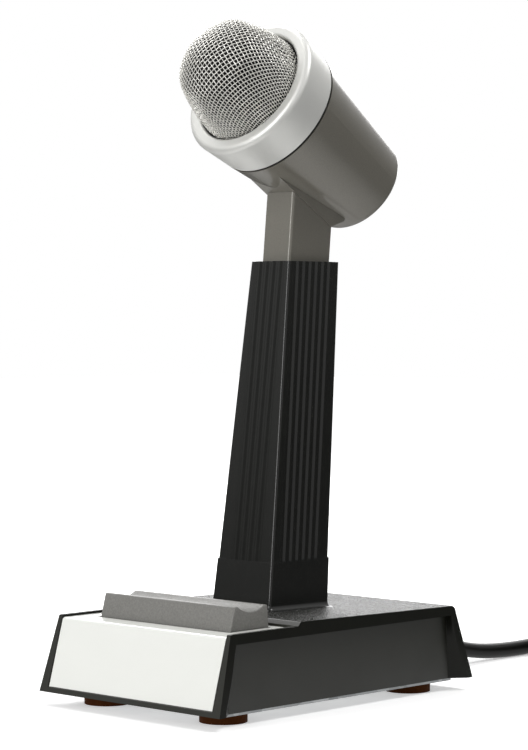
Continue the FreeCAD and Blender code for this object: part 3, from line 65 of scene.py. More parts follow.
def new_material(name, colour, roughness, metallic=0.0, **sockets):
    """A Principled surface; a socket's spaces are written as underscores."""
    material = bpy.data.materials.new(name)
    material.use_nodes = True
    tree = material.node_tree
    shader = tree.nodes["Principled BSDF"]
    shader.inputs["Base Color"].default_value = linear(colour)
    shader.inputs["Roughness"].default_value = roughness
    shader.inputs["Metallic"].default_value = metallic
    for key, value in sockets.items():
        shader.inputs[key.replace("_", " ")].default_value = value
    return material, tree, shader


def place_of(tree, scale=(1.0, 1.0, 1.0), turn=(0.0, 0.0, 0.0)):
    """Object coordinates, scaled and turned."""
    coordinates = add(tree, "ShaderNodeTexCoord")
    return add(tree, "ShaderNodeMapping", {"Vector": coordinates.outputs["Object"], "Scale": scale,
                                           "Rotation": turn}).outputs["Vector"]


def bump(tree, shader, height, distance, strength=1.0):
    """Relief of a real depth on a surface."""
    relief = add(tree, "ShaderNodeBump", {"Height": height, "Distance": distance, "Strength": strength})
    tree.links.new(relief.outputs["Normal"], shader.inputs["Normal"])
    return relief


def ramp(tree, value, low, high, to_low=0.0, to_high=1.0):
    """Map a value from one range to another, held at the ends."""
    return add(tree, "ShaderNodeMapRange", {"Value": value, "From Min": low, "From Max": high,
                                            "To Min": to_low, "To Max": to_high}).outputs["Result"]


def vary_colour(tree, shader, value, first, second):
    """Colour that runs from one hex to another with a value."""
    mix = add(tree, "ShaderNodeMix", {"Factor": value}, data_type="RGBA")
    mix.inputs["A"].default_value = linear(first)
    mix.inputs["B"].default_value = linear(second)
    tree.links.new(mix.outputs["Result"], shader.inputs["Base Color"])


# --------------------------------------------------------------------------------------------
# Materials
# --------------------------------------------------------------------------------------------
# The leather grain covers what lies above the step in the deck.
GRAIN_FLOOR = 33.6 * MM
GRAIN_DEPTH = 0.3 * MM
GRAIN_CELL = 0.95 * MM


def moulded_black():
    """ABS, injection moulded: satin walls, and leather grain on the upward faces of the deck, with painted shade
    darkening each grain cell towards its creases.
    """
    material, tree, shader = new_material("moulded_abs_leather_grain", "#161713", 0.34)
    shader.inputs["Specular IOR Level"].default_value = 0.5
    at = place_of(tree)
    # leather grain: each cell is a soft pillow between sharp creases
    cells = add(tree, "ShaderNodeTexVoronoi", {"Vector": at, "Scale": 1 / GRAIN_CELL}, feature="F1")
    creases = add(tree, "ShaderNodeTexVoronoi", {"Vector": at, "Scale": 1 / GRAIN_CELL},
                  feature="DISTANCE_TO_EDGE")
    pillow = ramp(tree, creases.outputs["Distance"], 0.0, 0.32)
    fine = add(tree, "ShaderNodeTexNoise", {"Vector": at, "Scale": 1 / (0.35 * MM), "Detail": 2.0})
    swell = add(tree, "ShaderNodeTexNoise", {"Vector": at, "Scale": 1 / (1.8 * MM), "Detail": 2.0})
    both = add(tree, "ShaderNodeMath", {0: pillow, 1: fine.outputs["Fac"]}, operation="ADD")
    height = add(tree, "ShaderNodeMath", {0: swell.outputs["Fac"], 1: 2.5, 2: both.outputs["Value"]},
                 operation="MULTIPLY_ADD")
    geometry = add(tree, "ShaderNodeNewGeometry")
    normal = add(tree, "ShaderNodeSeparateXYZ", {"Vector": geometry.outputs["Normal"]})
    position = add(tree, "ShaderNodeSeparateXYZ", {"Vector": place_of(tree)})
    facing_up = ramp(tree, normal.outputs["Z"], 0.9, 0.97)
    high = ramp(tree, position.outputs["Z"], GRAIN_FLOOR - 0.2 * MM, GRAIN_FLOOR)
    grained = add(tree, "ShaderNodeMath", {0: facing_up, 1: high}, operation="MULTIPLY")
    relief = bump(tree, shader, height.outputs["Value"], GRAIN_DEPTH)
    tree.links.new(grained.outputs["Value"], relief.inputs["Strength"])
    soft = add(tree, "ShaderNodeTexNoise", {"Vector": at, "Scale": 1 / (14 * MM), "Detail": 3.0})
    speckle = add(tree, "ShaderNodeTexNoise", {"Vector": at, "Scale": 1 / (1.1 * MM), "Detail": 1.0})
    rough = add(tree, "ShaderNodeMix", {"Factor": grained.outputs["Value"]})
    tree.links.new(ramp(tree, soft.outputs["Fac"], 0.3, 0.7, 0.28, 0.38), rough.inputs["A"])
    tree.links.new(ramp(tree, speckle.outputs["Fac"], 0.42, 0.6, 0.12, 0.5), rough.inputs["B"])
    tree.links.new(rough.outputs["Result"], shader.inputs["Roughness"])
    # painted shade: on the grained faces each cell's colour darkens from its middle out to the creases round it
    shade = add(tree, "ShaderNodeMath", {0: cells.outputs["Distance"], 1: grained.outputs["Value"]},
                operation="MULTIPLY")
    vary_colour(tree, shader, shade.outputs["Value"], "#17180F", "#10110A")
    return material


def frame_black_painted_shade():
    """The same ABS on the plain frame round the side panels, where the mould is polished; its darker colour is
    painted shade on the frame.
    """
    # painted shade: the frame's base colour is darker than the same ABS on the panels
    material, tree, shader = new_material("moulded_abs_frame_painted_shade", "#0C0D08", 0.3, Specular_IOR_Level=0.2)
    haze = add(tree, "ShaderNodeTexNoise", {"Vector": place_of(tree), "Scale": 1 / (9 * MM), "Detail": 3.0})
    vary_colour(tree, shader, haze.outputs["Fac"], "#0C0D08", "#11120C")
    return material


def column_black():
    """ABS with a polished mould: near black, glossy, with faint waviness in its reflections."""
    material, tree, shader = new_material("moulded_abs_polished", "#0D0E0B", 0.26)
    at = place_of(tree)
    wave = add(tree, "ShaderNodeTexNoise", {"Vector": at, "Scale": 1 / (22 * MM), "Detail": 2.0})
    bump(tree, shader, wave.outputs["Fac"], 0.05 * MM, 0.5)
    haze = add(tree, "ShaderNodeTexNoise", {"Vector": at, "Scale": 1 / (5 * MM), "Detail": 4.0})
    tree.links.new(ramp(tree, haze.outputs["Fac"], 0.3, 0.7, 0.22, 0.25), shader.inputs["Roughness"])
    vary_colour(tree, shader, haze.outputs["Fac"], "#0B0C09", "#10110D")
    return material


def satin_anodised():
    """Aluminium sheet, fine brushed from side to side and clear anodised: a white satin sheen."""
    material, tree, shader = new_material("satin_anodised_aluminium", "#E8E9E4", 0.26, 0.08)
    # brush lines 0.12 mm apart, drawn along X
    lines = add(tree, "ShaderNodeTexNoise",
                {"Vector": place_of(tree, (1 / (30 * MM), 1 / (0.12 * MM), 1 / (0.12 * MM))), "Scale": 1.0,
                 "Detail": 3.0})
    bump(tree, shader, lines.outputs["Fac"], 0.002 * MM, 0.2)
    tree.links.new(ramp(tree, lines.outputs["Fac"], 0.3, 0.7, 0.25, 0.27), shader.inputs["Roughness"])
    vary_colour(tree, shader, lines.outputs["Fac"], "#E9EAE5", "#E7E8E3")
    return material


def satin_ring():
    """Turned aluminium, bead blasted and anodised silver: even, soft, a little grey."""
    material, tree, shader = new_material("blasted_silver_aluminium", "#DADAD6", 0.46, 0.5)
    grit = add(tree, "ShaderNodeTexNoise", {"Vector": place_of(tree), "Scale": 1 / (0.25 * MM), "Detail": 3.0})
    bump(tree, shader, grit.outputs["Fac"], 0.01 * MM, 0.6)
    tree.links.new(ramp(tree, grit.outputs["Fac"], 0.3, 0.7, 0.42, 0.5), shader.inputs["Roughness"])
    vary_colour(tree, shader, grit.outputs["Fac"], "#D4D4D0", "#E2E2DE")
    return material


def warm_grey_lacquer():
    """Die casting in warm grey metallic lacquer under a clear coat: fine flake and a glossy skin."""
    material, tree, shader = new_material("metallic_lacquer_warm_grey", "#716E64", 0.38, 0.2)
    shader.inputs["Coat Weight"].default_value = 0.7
    shader.inputs["Coat Roughness"].default_value = 0.12
    at = place_of(tree)
    flake = add(tree, "ShaderNodeTexVoronoi", {"Vector": at, "Scale": 1 / (0.18 * MM)})
    vary_colour(tree, shader, ramp(tree, flake.outputs["Distance"], 0.1, 0.7), "#77746A", "#66635B")
    orange_peel = add(tree, "ShaderNodeTexNoise", {"Vector": at, "Scale": 1 / (1.6 * MM), "Detail": 1.0})
    bump(tree, shader, orange_peel.outputs["Fac"], 0.006 * MM, 0.4)
    return material


def bar_grey():
    """ABS, moulded mid grey with a fine spark-eroded texture: matte with a soft highlight."""
    material, tree, shader = new_material("moulded_abs_fine_matte", "#7C7B77", 0.48)
    grain = add(tree, "ShaderNodeTexNoise", {"Vector": place_of(tree), "Scale": 1 / (0.7 * MM), "Detail": 3.0})
    bump(tree, shader, grain.outputs["Fac"], 0.08 * MM, 0.6)
    tree.links.new(ramp(tree, grain.outputs["Fac"], 0.3, 0.7, 0.42, 0.56), shader.inputs["Roughness"])
    vary_colour(tree, shader, grain.outputs["Fac"], "#868581", "#646360")
    return material


def plated_wire():
    """Steel wire, bright nickel plated: a pale, shining thread."""
    material, tree, shader = new_material("nickel_plated_wire", "#F2F1EC", 0.25, 0.55)
    film = add(tree, "ShaderNodeTexNoise", {"Vector": place_of(tree), "Scale": 1 / (4 * MM), "Detail": 3.0})
    tree.links.new(ramp(tree, film.outputs["Fac"], 0.3, 0.7, 0.2, 0.34), shader.inputs["Roughness"])
    vary_colour(tree, shader, film.outputs["Fac"], "#F6F5F0", "#E6E4DD")
    return material


def open_foam():
    """Open-cell foam, black: swallows light, with pores of about 0.6 mm."""
    material, tree, shader = new_material("open_cell_foam_black", "#0B0B0B", 0.95)
    pores = add(tree, "ShaderNodeTexVoronoi", {"Vector": place_of(tree), "Scale": 1 / (0.6 * MM)})
    bump(tree, shader, pores.outputs["Distance"], 0.3 * MM)
    # painted shade: the foam's colour darkens into the middle of each pore
    vary_colour(tree, shader, pores.outputs["Distance"], "#020202", "#0A0A0A")
    return material


def zinc_sheet():
    """Steel sheet, hot-dip galvanised: dull grey with crystal flakes a few millimetres across."""
    material, tree, shader = new_material("galvanised_steel_sheet", "#A9ABAC", 0.4, 1.0)
    flakes = add(tree, "ShaderNodeTexVoronoi", {"Vector": place_of(tree), "Scale": 1 / (5 * MM)})
    tone = add(tree, "ShaderNodeSeparateColor", {"Color": flakes.outputs["Color"]})
    vary_colour(tree, shader, tone.outputs["Red"], "#B8BABB", "#8E9192")
    tree.links.new(ramp(tree, tone.outputs["Green"], 0.0, 1.0, 0.3, 0.5), shader.inputs["Roughness"])
    return material


def moulded_rubber(name, colour, light, roughness=0.6, specular=0.5):
    """Moulded rubber or soft vinyl: dull, with a faint bloom on its surface."""
    material, tree, shader = new_material(name, colour, roughness, Specular_IOR_Level=specular)
    at = place_of(tree)
    bloom = add(tree, "ShaderNodeTexNoise", {"Vector": at, "Scale": 1 / (2.5 * MM), "Detail": 4.0})
    vary_colour(tree, shader, bloom.outputs["Fac"], colour, light)
    skin = add(tree, "ShaderNodeTexNoise", {"Vector": at, "Scale": 1 / (0.3 * MM), "Detail": 2.0})
    bump(tree, shader, skin.outputs["Fac"], 0.015 * MM, 0.5)
    return material


def turned_metal(name, colour, roughness):
    """Small turned or stamped fittings: plain metal with faint handling marks."""
    material, tree, shader = new_material(name, colour, roughness, 1.0)
    marks = add(tree, "ShaderNodeTexNoise", {"Vector": place_of(tree), "Scale": 1 / (1.2 * MM), "Detail": 4.0})
    tree.links.new(ramp(tree, marks.outputs["Fac"], 0.3, 0.7, roughness - 0.06, roughness + 0.1),
                   shader.inputs["Roughness"])
    return material


def plain_plastic(name, colour, light, roughness):
    """Moulded plastic that isn't on show: even, with a slight mottle."""
    material, tree, shader = new_material(name, colour, roughness)
    mottle = add(tree, "ShaderNodeTexNoise", {"Vector": place_of(tree), "Scale": 1 / (3 * MM), "Detail": 3.0})
    vary_colour(tree, shader, mottle.outputs["Fac"], colour, light)
    return material


CAST_IRON = plain_plastic("cast_iron_raw", "#3A3937", "#4A4846", 0.7)
STEEL = turned_metal("zinc_plated_steel", "#BDBDBC", 0.35)
BRASS = turned_metal("tinned_brass", "#CFAF6B", 0.32)
BLACK_PLASTIC = plain_plastic("moulded_nylon_black", "#161615", "#20201F", 0.5)
LAMINATE = plain_plastic("phenolic_laminate", "#5B3A1E", "#6E4725", 0.55)
CORD_VINYL = moulded_rubber("extruded_vinyl_black", "#090907", "#0E0E0B", 0.42, 0.22)
BLACK_RUBBER = moulded_rubber("moulded_rubber_black", "#131311", "#1B1B19", 0.5)
LACQUER = warm_grey_lacquer()

NODE_MATERIALS = {
    "base_cover": moulded_black(),
    "front_plate": satin_anodised(),
    "press_bar": bar_grey(),
    "column": column_black(),
    "neck": LACQUER,
    "head_housing": LACQUER,
    "head_gasket": BLACK_RUBBER,
    "bezel_ring": satin_ring(),
    "grille_foam": open_foam(),
    "bottom_plate": zinc_sheet(),
    "strain_relief": BLACK_RUBBER,
    "cartridge_mount": BLACK_RUBBER,
    "plug_boot": BLACK_RUBBER,
    "coil_tie": BLACK_PLASTIC,
    "plug_handle": BLACK_PLASTIC,
    "plug_insert": BLACK_PLASTIC,
    "cartridge_front": BLACK_PLASTIC,
    "neck_stop": plain_plastic("nylon_natural", "#D8D3C4", "#CFC9B8", 0.45),
    "ballast_weight": CAST_IRON,
    "cartridge_magnet": CAST_IRON,
    "terminal_board": LAMINATE,
    "switch_insulators": LAMINATE,
    "terminal_tags": BRASS,
    "switch_leaves": BRASS,
    "cartridge_case": turned_metal("spun_aluminium", "#C6C6C4", 0.34),
}
FOOT_RUBBER = moulded_rubber("moulded_rubber_brown", "#3E1D05", "#4F290B", 0.8, 0.1)


def dress_nodes():
    """Give every CAD node its finish."""
    for name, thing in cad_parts.items():
        finish = FOOT_RUBBER if name.startswith("foot_") else NODE_MATERIALS.get(name, STEEL)
        thing.data.materials.clear()
        thing.data.materials.append(finish)


dress_nodes()


# --------------------------------------------------------------------------------------------
# Mouldings with their edges rounded
# --------------------------------------------------------------------------------------------
SHARP = math.radians(12)
FLAT = math.radians(0.3)
SMOOTH_BELOW = math.radians(35)
MERGE = 0.002 * MM
# A flute's floor or land is a wall of this area in mm2; it is moved out and narrowed by these, in mm.
FLUTE_AREA = (100, 260)
FLUTE_EASE = 0.5
FLUTE_LEAN = 0.42
# Faces of the cover's sides from this area in mm2 up, which are the panels, keep its first finish.
PANEL_AREA = 2000


def rounded_copy(name, rounds, reshape=None):
    """A CAD moulding with the small edge rounds that its mould has.

    Each round is a width in mm, a number of steps, and a test of an edge's middle and length in mm and of
    its turn in degrees, which is above 0 on an outside corner.
    """
    piece = bpy.data.objects.new(name + "_moulding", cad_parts[name].data.copy())
    bpy.context.collection.objects.link(piece)
    bpy.ops.object.select_all(action="DESELECT")
    bpy.context.view_layer.objects.active = piece
    piece.select_set(True)
    bpy.ops.mesh.customdata_custom_splitnormals_clear()
    bpy.ops.object.mode_set(mode="EDIT")
    bpy.ops.mesh.select_all(action="SELECT")
    bpy.ops.mesh.remove_doubles(threshold=MERGE)
    bpy.ops.mesh.dissolve_limited(angle_limit=FLAT)
    if reshape:
        reshape(bmesh.from_edit_mesh(piece.data))
        bmesh.update_edit_mesh(piece.data)
    for width, steps, chosen in rounds:
        bpy.ops.mesh.select_all(action="DESELECT")
        shape = bmesh.from_edit_mesh(piece.data)
        for edge in shape.edges:
            if len(edge.link_faces) == 2 and edge.calc_face_angle() > SHARP:
                middle = (edge.verts[0].co + edge.verts[1].co) / (2 * MM)
                turn = math.degrees(edge.calc_face_angle_signed())
                edge.select = chosen(middle, edge.calc_length() / MM, turn)
        shape.select_flush_mode()
        bmesh.update_edit_mesh(piece.data)
        bpy.ops.mesh.bevel(offset=width * MM, segments=steps, clamp_overlap=False, affect="EDGES")
    bpy.ops.mesh.select_all(action="SELECT")
    bpy.ops.mesh.remove_doubles(threshold=MERGE)
    bpy.ops.object.mode_set(mode="OBJECT")
    bpy.ops.object.shade_smooth_by_angle(angle=SMOOTH_BELOW)
    modifier = piece.modifiers.new("even_shading", "WEIGHTED_NORMAL")
    modifier.keep_sharp = True
    bpy.ops.object.modifier_apply(modifier=modifier.name)
    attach(piece, "base")
    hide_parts(name)
    return piece


def outer_edge(middle, length, turn):
    """The cover's long rim, its front and rear corners and the nose of the step."""
    side = abs(middle.x) > 43.8 and middle.z > 5.2
    step = -29 < middle.y < -26 and middle.z > 34
    return turn > 0 and (side or step)


def foot_corner(middle, length, turn):
    """The inside corner where the column's band runs out into its foot."""
    outside = abs(middle.x) > 14.4 or middle.y < -9.9 or middle.y > 21.3
    on_foot = 34.0 < middle.z < 36.6 and abs(middle.x) < 16.4 and -12.0 < middle.y < 23.0
    return turn < 0 and outside and on_foot


def band_edge(middle, length, turn):
    """The top edge of the column's plain band."""
    return turn > 0 and 54.0 < middle.z < 55.2


def long_corner(middle, length, turn):
    """The column's four long outside corners."""
    return turn > 60 and length > 60


def ease_flutes(shape):
    """Move the flutes' floors and the lands between them out, and narrow them, so that the walls lean.

    The faces are picked by area, which takes in two hidden faces of the bore as well.
    """
    picked = [face for face in shape.faces
              if FLUTE_AREA[0] < face.calc_area() / MM ** 2 < FLUTE_AREA[1] and abs(face.normal.z) < 0.2]
    for face in picked:
        across = face.normal.cross(Vector((0, 0, 1))).normalized()
        centre = face.calc_center_median()
        for corner in face.verts:
            beside = min(face.verts, key=lambda other: abs(other.co.z - corner.co.z) + (other is corner))
            side = math.copysign(1.0, (corner.co - beside.co).dot(across) or (corner.co - centre).dot(across))
            corner.co += (face.normal * FLUTE_EASE - across * side * FLUTE_LEAN) * MM


def dress_frame(cover):
    """Give the walls round the side panels, which are the largest faces, the frame's ABS, whose darker colour is
    painted shade.
    """
    cover.data.materials.append(frame_black_painted_shade())
    for face in cover.data.polygons:
        on_side = abs(face.center.x) > 40 * MM and face.normal.z < 0.9
        if on_side and face.area < PANEL_AREA * MM ** 2:
            face.material_index = 1


COVER_ROUNDS = [(0.45, 3, outer_edge)]
COLUMN_ROUNDS = [(2.2, 5, foot_corner), (0.2, 2, band_edge), (0.4, 5, long_corner)]
dress_frame(rounded_copy("base_cover", COVER_ROUNDS))
rounded_copy("column", COLUMN_ROUNDS, ease_flutes)


# --------------------------------------------------------------------------------------------
# Woven wire screen
# --------------------------------------------------------------------------------------------
# The head's own frame: its axis points out of the front, and distances run from the gasket.
HEAD_TILT = math.radians(61.09)
HEAD_AT = Vector((0, 8.08 * MM, 230.84 * MM))
HEAD_FRAME = Matrix.Translation(HEAD_AT) @ Matrix.Rotation(HEAD_TILT, 4, "X")

# Radius and distance of the screen's outer side, from the crown's edge down into the ring, in mm.
CROWN_EDGE = (16.0, 39.6)
APEX = 45.8
CROWN_STEPS = 24
SHOULDER = [(16.55, 39.25), (17.1, 38.75)]
SIDE = [(17.65, 38.0), (18.5, 36.0), (19.25, 34.0), (19.95, 32.0), (20.6, 30.0), (21.1, 28.4), (21.5, 27.0),
        (22.0, 25.0), (22.5, 22.5), (22.85, 20.0), (23.15, 17.5), (23.3, 15.0)]
WIRE_PITCH = 1.65
WIRE_RADIUS = 0.2
WEAVE_LIFT = 0.9
WEAVE_TURN = math.radians(45)
# Where the wires run straight down the dome they bunch into pleats, one on each side.
PLEAT_START = 27.0
PLEAT_GROWTH = 8
PLEAT_EDGE = 0.84
PLEAT_SPREAD = 0.16
PLEAT_DEPTH = 0.42
PLEATS_ROUND = 72


def screen_profile():
    """Points (run, radius, distance) down the screen, run being the length along it from the apex."""
    rise = APEX - CROWN_EDGE[1]
    sphere = (CROWN_EDGE[0] ** 2 + rise ** 2) / (2 * rise)
    half = math.asin(CROWN_EDGE[0] / sphere)
    points = []
    for i in range(CROWN_STEPS + 1):
        angle = half * i / CROWN_STEPS
        points.append((sphere * math.sin(angle), APEX - sphere * (1 - math.cos(angle))))
    points += SHOULDER + SIDE
    runs = [0.0]
    for before, after in zip(points, points[1:]):
        runs.append(runs[-1] + math.dist(before, after))
    return [(run, *point) for run, point in zip(runs, points)]


PROFILE = screen_profile()
SCREEN_RUN = PROFILE[-1][0]


def on_screen(u, v, lift):
    """A point of the flat mesh, laid over the dome without stretching it down the slope."""
    run = min(math.hypot(u, v), SCREEN_RUN)
    angle = math.atan2(v, u)
    for low, high in zip(PROFILE, PROFILE[1:]):
        if run <= high[0]:
            share = (run - low[0]) / (high[0] - low[0])
            radius = low[1] + (high[1] - low[1]) * share
            distance = low[2] + (high[2] - low[2]) * share
            lean = math.atan2(low[2] - high[2], high[1] - low[1])
            break
    straight = max(0.0, (abs(math.cos(angle)) - PLEAT_EDGE) / PLEAT_SPREAD)
    bunched = straight * min(1.0, max(0.0, (run - PLEAT_START) / PLEAT_GROWTH))
    lift += PLEAT_DEPTH * bunched * (math.cos(PLEATS_ROUND * angle) - 1)
    radius += lift * math.sin(lean)
    distance += lift * math.cos(lean)
    angle += WEAVE_TURN
    return Vector((radius * math.cos(angle), radius * math.sin(angle), distance)) * MM


def make_screen():
    """Two sets of wires, each passing over and under the other, drawn down over the dome."""
    curve = bpy.data.curves.new("woven_screen", "CURVE")
    curve.dimensions = "3D"
    curve.bevel_depth = WIRE_RADIUS * MM
    curve.bevel_resolution = 0
    curve.use_fill_caps = True
    count = int(SCREEN_RUN / WIRE_PITCH)
    for family in (0, 1):
        for wire in range(-count, count + 1):
            across = (wire + 0.5) * WIRE_PITCH
            reach = SCREEN_RUN ** 2 - across ** 2
            if reach <= WIRE_PITCH ** 2:
                continue
            steps = int(math.sqrt(reach) / WIRE_PITCH * 2)
            points = []
            for step in range(-steps, steps + 1):
                along = step * WIRE_PITCH / 2
                side = 1 if (wire + (step // 2) + family) % 2 else -1
                lift = WIRE_RADIUS * side * WEAVE_LIFT if step % 2 else 0.0
                spot = (along, across) if family == 0 else (across, along)
                if math.hypot(*spot) <= SCREEN_RUN:
                    points.append(HEAD_FRAME @ on_screen(*spot, lift - WIRE_RADIUS * 2))
            if len(points) < 4:
                continue
            spline = curve.splines.new("POLY")
            spline.points.add(len(points) - 1)
            for slot, point in zip(spline.points, points):
                slot.co = (*point, 1.0)
    screen = bpy.data.objects.new("woven_screen", curve)
    bpy.context.collection.objects.link(screen)
    bpy.ops.object.select_all(action="DESELECT")
    bpy.context.view_layer.objects.active = screen
    screen.select_set(True)
    bpy.ops.object.convert(target="MESH")
    bpy.ops.object.shade_smooth()
    screen.data.materials.clear()
    screen.data.materials.append(plated_wire())
    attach(screen, "head")
    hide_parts("grille")


make_screen()


# --------------------------------------------------------------------------------------------
# Cord
# --------------------------------------------------------------------------------------------
CORD_RADIUS = 3.3
COIL_CENTRE = (47.4, 205.0)
COIL_ROWS = (4.5, 11.1, 17.7)
COIL_OUTER = 46.2
COIL_MIDDLE = 39.6
COIL_INNER = 33.0
TURN_POINTS = 16
PLUG_OFFSET = 36.0
PLUG_Z = 28.9
PLUG_X = 53.1
TAIL_BEND = 0.732


def coil_points():
    """Three rows of turns beside and on each other, wound clockwise and ending on the top row."""
    turns = [(COIL_OUTER, 0), (COIL_MIDDLE, 0), (COIL_INNER, 0), (COIL_INNER, 1), (COIL_MIDDLE, 1),
             (COIL_OUTER, 1), (COIL_OUTER, 2), (COIL_MIDDLE, 2), (COIL_MIDDLE, 2)]
    points = []
    tighten = 0.75 + 0.25 * math.cos(math.tau / TURN_POINTS)
    shift_from = TURN_POINTS * 3 // 4
    for (radius, row), (next_radius, next_row) in zip(turns, turns[1:]):
        for step in range(TURN_POINTS):
            share = max(0, step - shift_from) / (TURN_POINTS - shift_from)
            r = (radius + (next_radius - radius) * share) / tighten
            z = COIL_ROWS[row] + (COIL_ROWS[next_row] - COIL_ROWS[row]) * share
            angle = math.pi - math.tau * step / TURN_POINTS
            points.append((COIL_CENTRE[0] + r * math.cos(angle), COIL_CENTRE[1] + r * math.sin(angle), z))
    return points


def make_cord():
    """The whole cord on one smooth line: out of the relief, along the table, coiled, to the plug."""
    lead = [(0, 94.3, 11), (0, 107, 10.4), (-0.2, 121, 7.5), (0, 137, 4.4), (0.6, 154, 3.35), (1.4, 172, 3.45),
            (1.2, 188, 4.5)]
    middle = (COIL_CENTRE[0] - COIL_MIDDLE + PLUG_OFFSET, COIL_CENTRE[1])
    near_side = PLUG_OFFSET * math.tan(math.radians(15))
    tail = [(middle[0] - PLUG_OFFSET, middle[1] + near_side, 20.5),
            (middle[0] - PLUG_OFFSET * TAIL_BEND, middle[1] + PLUG_OFFSET * TAIL_BEND, 25.0),
            (middle[0] - near_side, middle[1] + PLUG_OFFSET, PLUG_Z - 0.8),
            (PLUG_X, middle[1] + PLUG_OFFSET, PLUG_Z)]
    points = lead + coil_points() + tail
    curve = bpy.data.curves.new("cord", "CURVE")
    curve.dimensions = "3D"
    curve.bevel_depth = CORD_RADIUS * MM
    curve.bevel_resolution = 5
    curve.resolution_u = 6
    curve.use_fill_caps = True
    spline = curve.splines.new("NURBS")
    spline.points.add(len(points) - 1)
    for slot, point in zip(spline.points, points):
        slot.co = (point[0] * MM, point[1] * MM, point[2] * MM, 1.0)
    spline.order_u = 3
    spline.use_endpoint_u = True
    cord = bpy.data.objects.new("cord", curve)
    bpy.context.collection.objects.link(cord)
    curve.materials.append(CORD_VINYL)
    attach(cord, "base")
    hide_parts("cord_lead", "cord_coil", "cord_tail")


make_cord()


# --------------------------------------------------------------------------------------------
# Floor, light and camera
# --------------------------------------------------------------------------------------------
# The room as the object mirrors it: dim at the floor and lighter above, with paler walls as (azimuth
# from +Y towards +X, height, half width, brightness), angles in degrees. The fill is the light it gives.
ROOM_LOW = 0.09
ROOM_HIGH = 0.62
ROOM_LIGHTENS_BY = 0.38
FLOOR_NEAR = 0.9
FLOOR_FAR = 0.1
ROOM_FILL = 0.28
ROOM_WALLS = [(-44, 6, 40, 1.0), (-136, 25, 27, 0.38), (108, 8, 25, 0.6)]


def make_floor():
    """A pale sweep: a plain diffuse floor, with its own look for the camera and in reflections."""
    bpy.ops.mesh.primitive_plane_add(size=8.0)
    floor = bpy.context.object
    floor.name = "floor"
    material = bpy.data.materials.new("white_sweep")
    material.use_nodes = True
    tree = material.node_tree
    tree.nodes.clear()
    diffuse = add(tree, "ShaderNodeBsdfDiffuse", {"Color": linear("#F4F4F4")})
    rays = add(tree, "ShaderNodeLightPath")
    # the sweep burns out to white away from the object, for the camera alone
    reach = add(tree, "ShaderNodeVectorMath", {0: place_of(tree)}, operation="LENGTH")
    level = ramp(tree, reach.outputs["Value"], 0.16, 0.5, 0.4, 1.0)
    glow = add(tree, "ShaderNodeMath", {0: rays.outputs["Is Camera Ray"], 1: level}, operation="MULTIPLY")
    light = add(tree, "ShaderNodeEmission", {"Color": (1, 1, 1, 1), "Strength": glow.outputs["Value"]})
    both = add(tree, "ShaderNodeAddShader", {0: diffuse.outputs["BSDF"], 1: light.outputs["Emission"]})
    pool = ramp(tree, reach.outputs["Value"], 0.12, 0.45, FLOOR_NEAR, FLOOR_FAR)
    mirrored = add(tree, "ShaderNodeEmission", {"Color": (1, 1, 1, 1), "Strength": pool})
    surface = add(tree, "ShaderNodeMixShader", {"Fac": rays.outputs["Is Glossy Ray"]})
    tree.links.new(both.outputs["Shader"], surface.inputs[1])
    tree.links.new(mirrored.outputs["Emission"], surface.inputs[2])
    add(tree, "ShaderNodeOutputMaterial", {"Surface": surface.outputs["Shader"]})
    floor.data.materials.append(material)


def toward(tree, direction, azimuth, height, wide):
    """1 in one direction of the room, falling to 0 at a given angle from it."""
    turn = math.radians(azimuth)
    rise = math.radians(height)
    aim = (math.sin(turn) * math.cos(rise), math.cos(turn) * math.cos(rise), math.sin(rise))
    close = add(tree, "ShaderNodeVectorMath", {0: direction, 1: aim}, operation="DOT_PRODUCT")
    edge = math.cos(math.radians(wide))
    return add(tree, "ShaderNodeMapRange", {"Value": close.outputs["Value"], "From Min": edge, "From Max": 1.0},
               interpolation_type="SMOOTHSTEP").outputs["Result"]


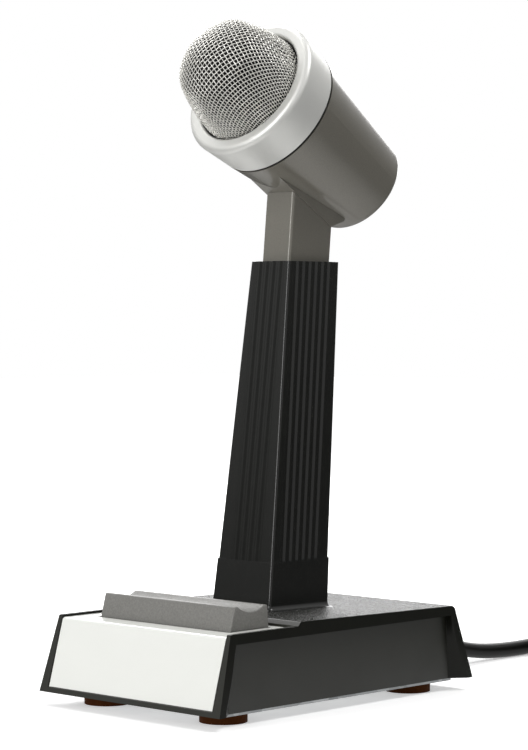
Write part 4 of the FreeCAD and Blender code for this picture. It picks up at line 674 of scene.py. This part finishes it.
def make_world():
    """A studio that is white to the camera, and dark near the floor with paler walls in reflections."""
    world = bpy.data.worlds.new("studio")
    bpy.context.scene.world = world
    world.use_nodes = True
    tree = world.node_tree
    tree.nodes.clear()
    direction = add(tree, "ShaderNodeTexCoord").outputs["Generated"]
    upward = add(tree, "ShaderNodeSeparateXYZ", {"Vector": direction})
    walls = ramp(tree, upward.outputs["Z"], 0.0, ROOM_LIGHTENS_BY, ROOM_LOW, ROOM_HIGH)
    for azimuth, height, wide, level in ROOM_WALLS:
        part = add(tree, "ShaderNodeMath", {0: toward(tree, direction, azimuth, height, wide), 1: level},
                   operation="MULTIPLY")
        both = add(tree, "ShaderNodeMath", {0: part.outputs["Value"], 1: walls}, operation="ADD")
        walls = both.outputs["Value"]
    rays = add(tree, "ShaderNodeLightPath")
    seen = add(tree, "ShaderNodeMath", {0: rays.outputs["Is Camera Ray"], 1: rays.outputs["Is Transmission Ray"]},
               operation="MAXIMUM")
    glossy = add(tree, "ShaderNodeMix", {"Factor": rays.outputs["Is Glossy Ray"]})
    glossy.inputs["A"].default_value = ROOM_FILL
    tree.links.new(walls, glossy.inputs["B"])
    strength = add(tree, "ShaderNodeMix", {"Factor": seen.outputs["Value"]})
    tree.links.new(glossy.outputs["Result"], strength.inputs["A"])
    strength.inputs["B"].default_value = 1.0
    background = add(tree, "ShaderNodeBackground",
                     {"Color": (1, 1, 1, 1), "Strength": strength.outputs["Result"]})
    add(tree, "ShaderNodeOutputWorld", {"Surface": background.outputs["Background"]})


def softbox(name, at, target, size, watts):
    """A rectangular lamp that faces a point."""
    data = bpy.data.lights.new(name, "AREA")
    data.shape = "RECTANGLE"
    data.size, data.size_y = size
    data.energy = watts
    lamp = bpy.data.objects.new(name, data)
    lamp.location = at
    lamp.rotation_euler = (Vector(target) - Vector(at)).to_track_quat("-Z", "Y").to_euler()
    bpy.context.collection.objects.link(lamp)


def make_lights():
    """A key above on the left, a strip in front, and a lamp behind on each side."""
    softbox("key_left", (-0.75, 0.25, 1.15), (0, 0, 0.13), (0.8, 0.8), 9.0)
    softbox("front_strip", (0.05, -1.35, 0.6), (0, 0, 0.15), (0.6, 1.1), 12.0)
    softbox("back_left", (-0.75, 0.95, 0.5), (0, 0, 0.12), (1.2, 0.6), 6.0)
    softbox("rim_right", (0.6, 0.55, 1.35), (0, 0, 0.22), (0.5, 0.5), 9.0)


CAMERA_AT = (0.66774, -0.69677, 0.1486)
CAMERA_TURN = math.radians(43.69)
CAMERA_DROP = math.radians(1.30)
CAMERA_LENS = 117.93


def make_camera():
    """The photo's camera: right of the front, almost level, with a long lens."""
    data = bpy.data.cameras.new("camera")
    data.sensor_width = 36.0
    data.lens = CAMERA_LENS
    camera = bpy.data.objects.new("camera", data)
    camera.location = CAMERA_AT
    level = math.cos(CAMERA_DROP)
    ahead = Vector((-math.sin(CAMERA_TURN) * level, math.cos(CAMERA_TURN) * level, -math.sin(CAMERA_DROP)))
    camera.rotation_euler = ahead.to_track_quat("-Z", "Y").to_euler()
    bpy.context.collection.objects.link(camera)
    bpy.context.scene.camera = camera


make_floor()
make_world()
make_lights()
make_camera()
bpy.context.scene.view_settings.view_transform = "Standard"

bpy.context.view_layer.update()
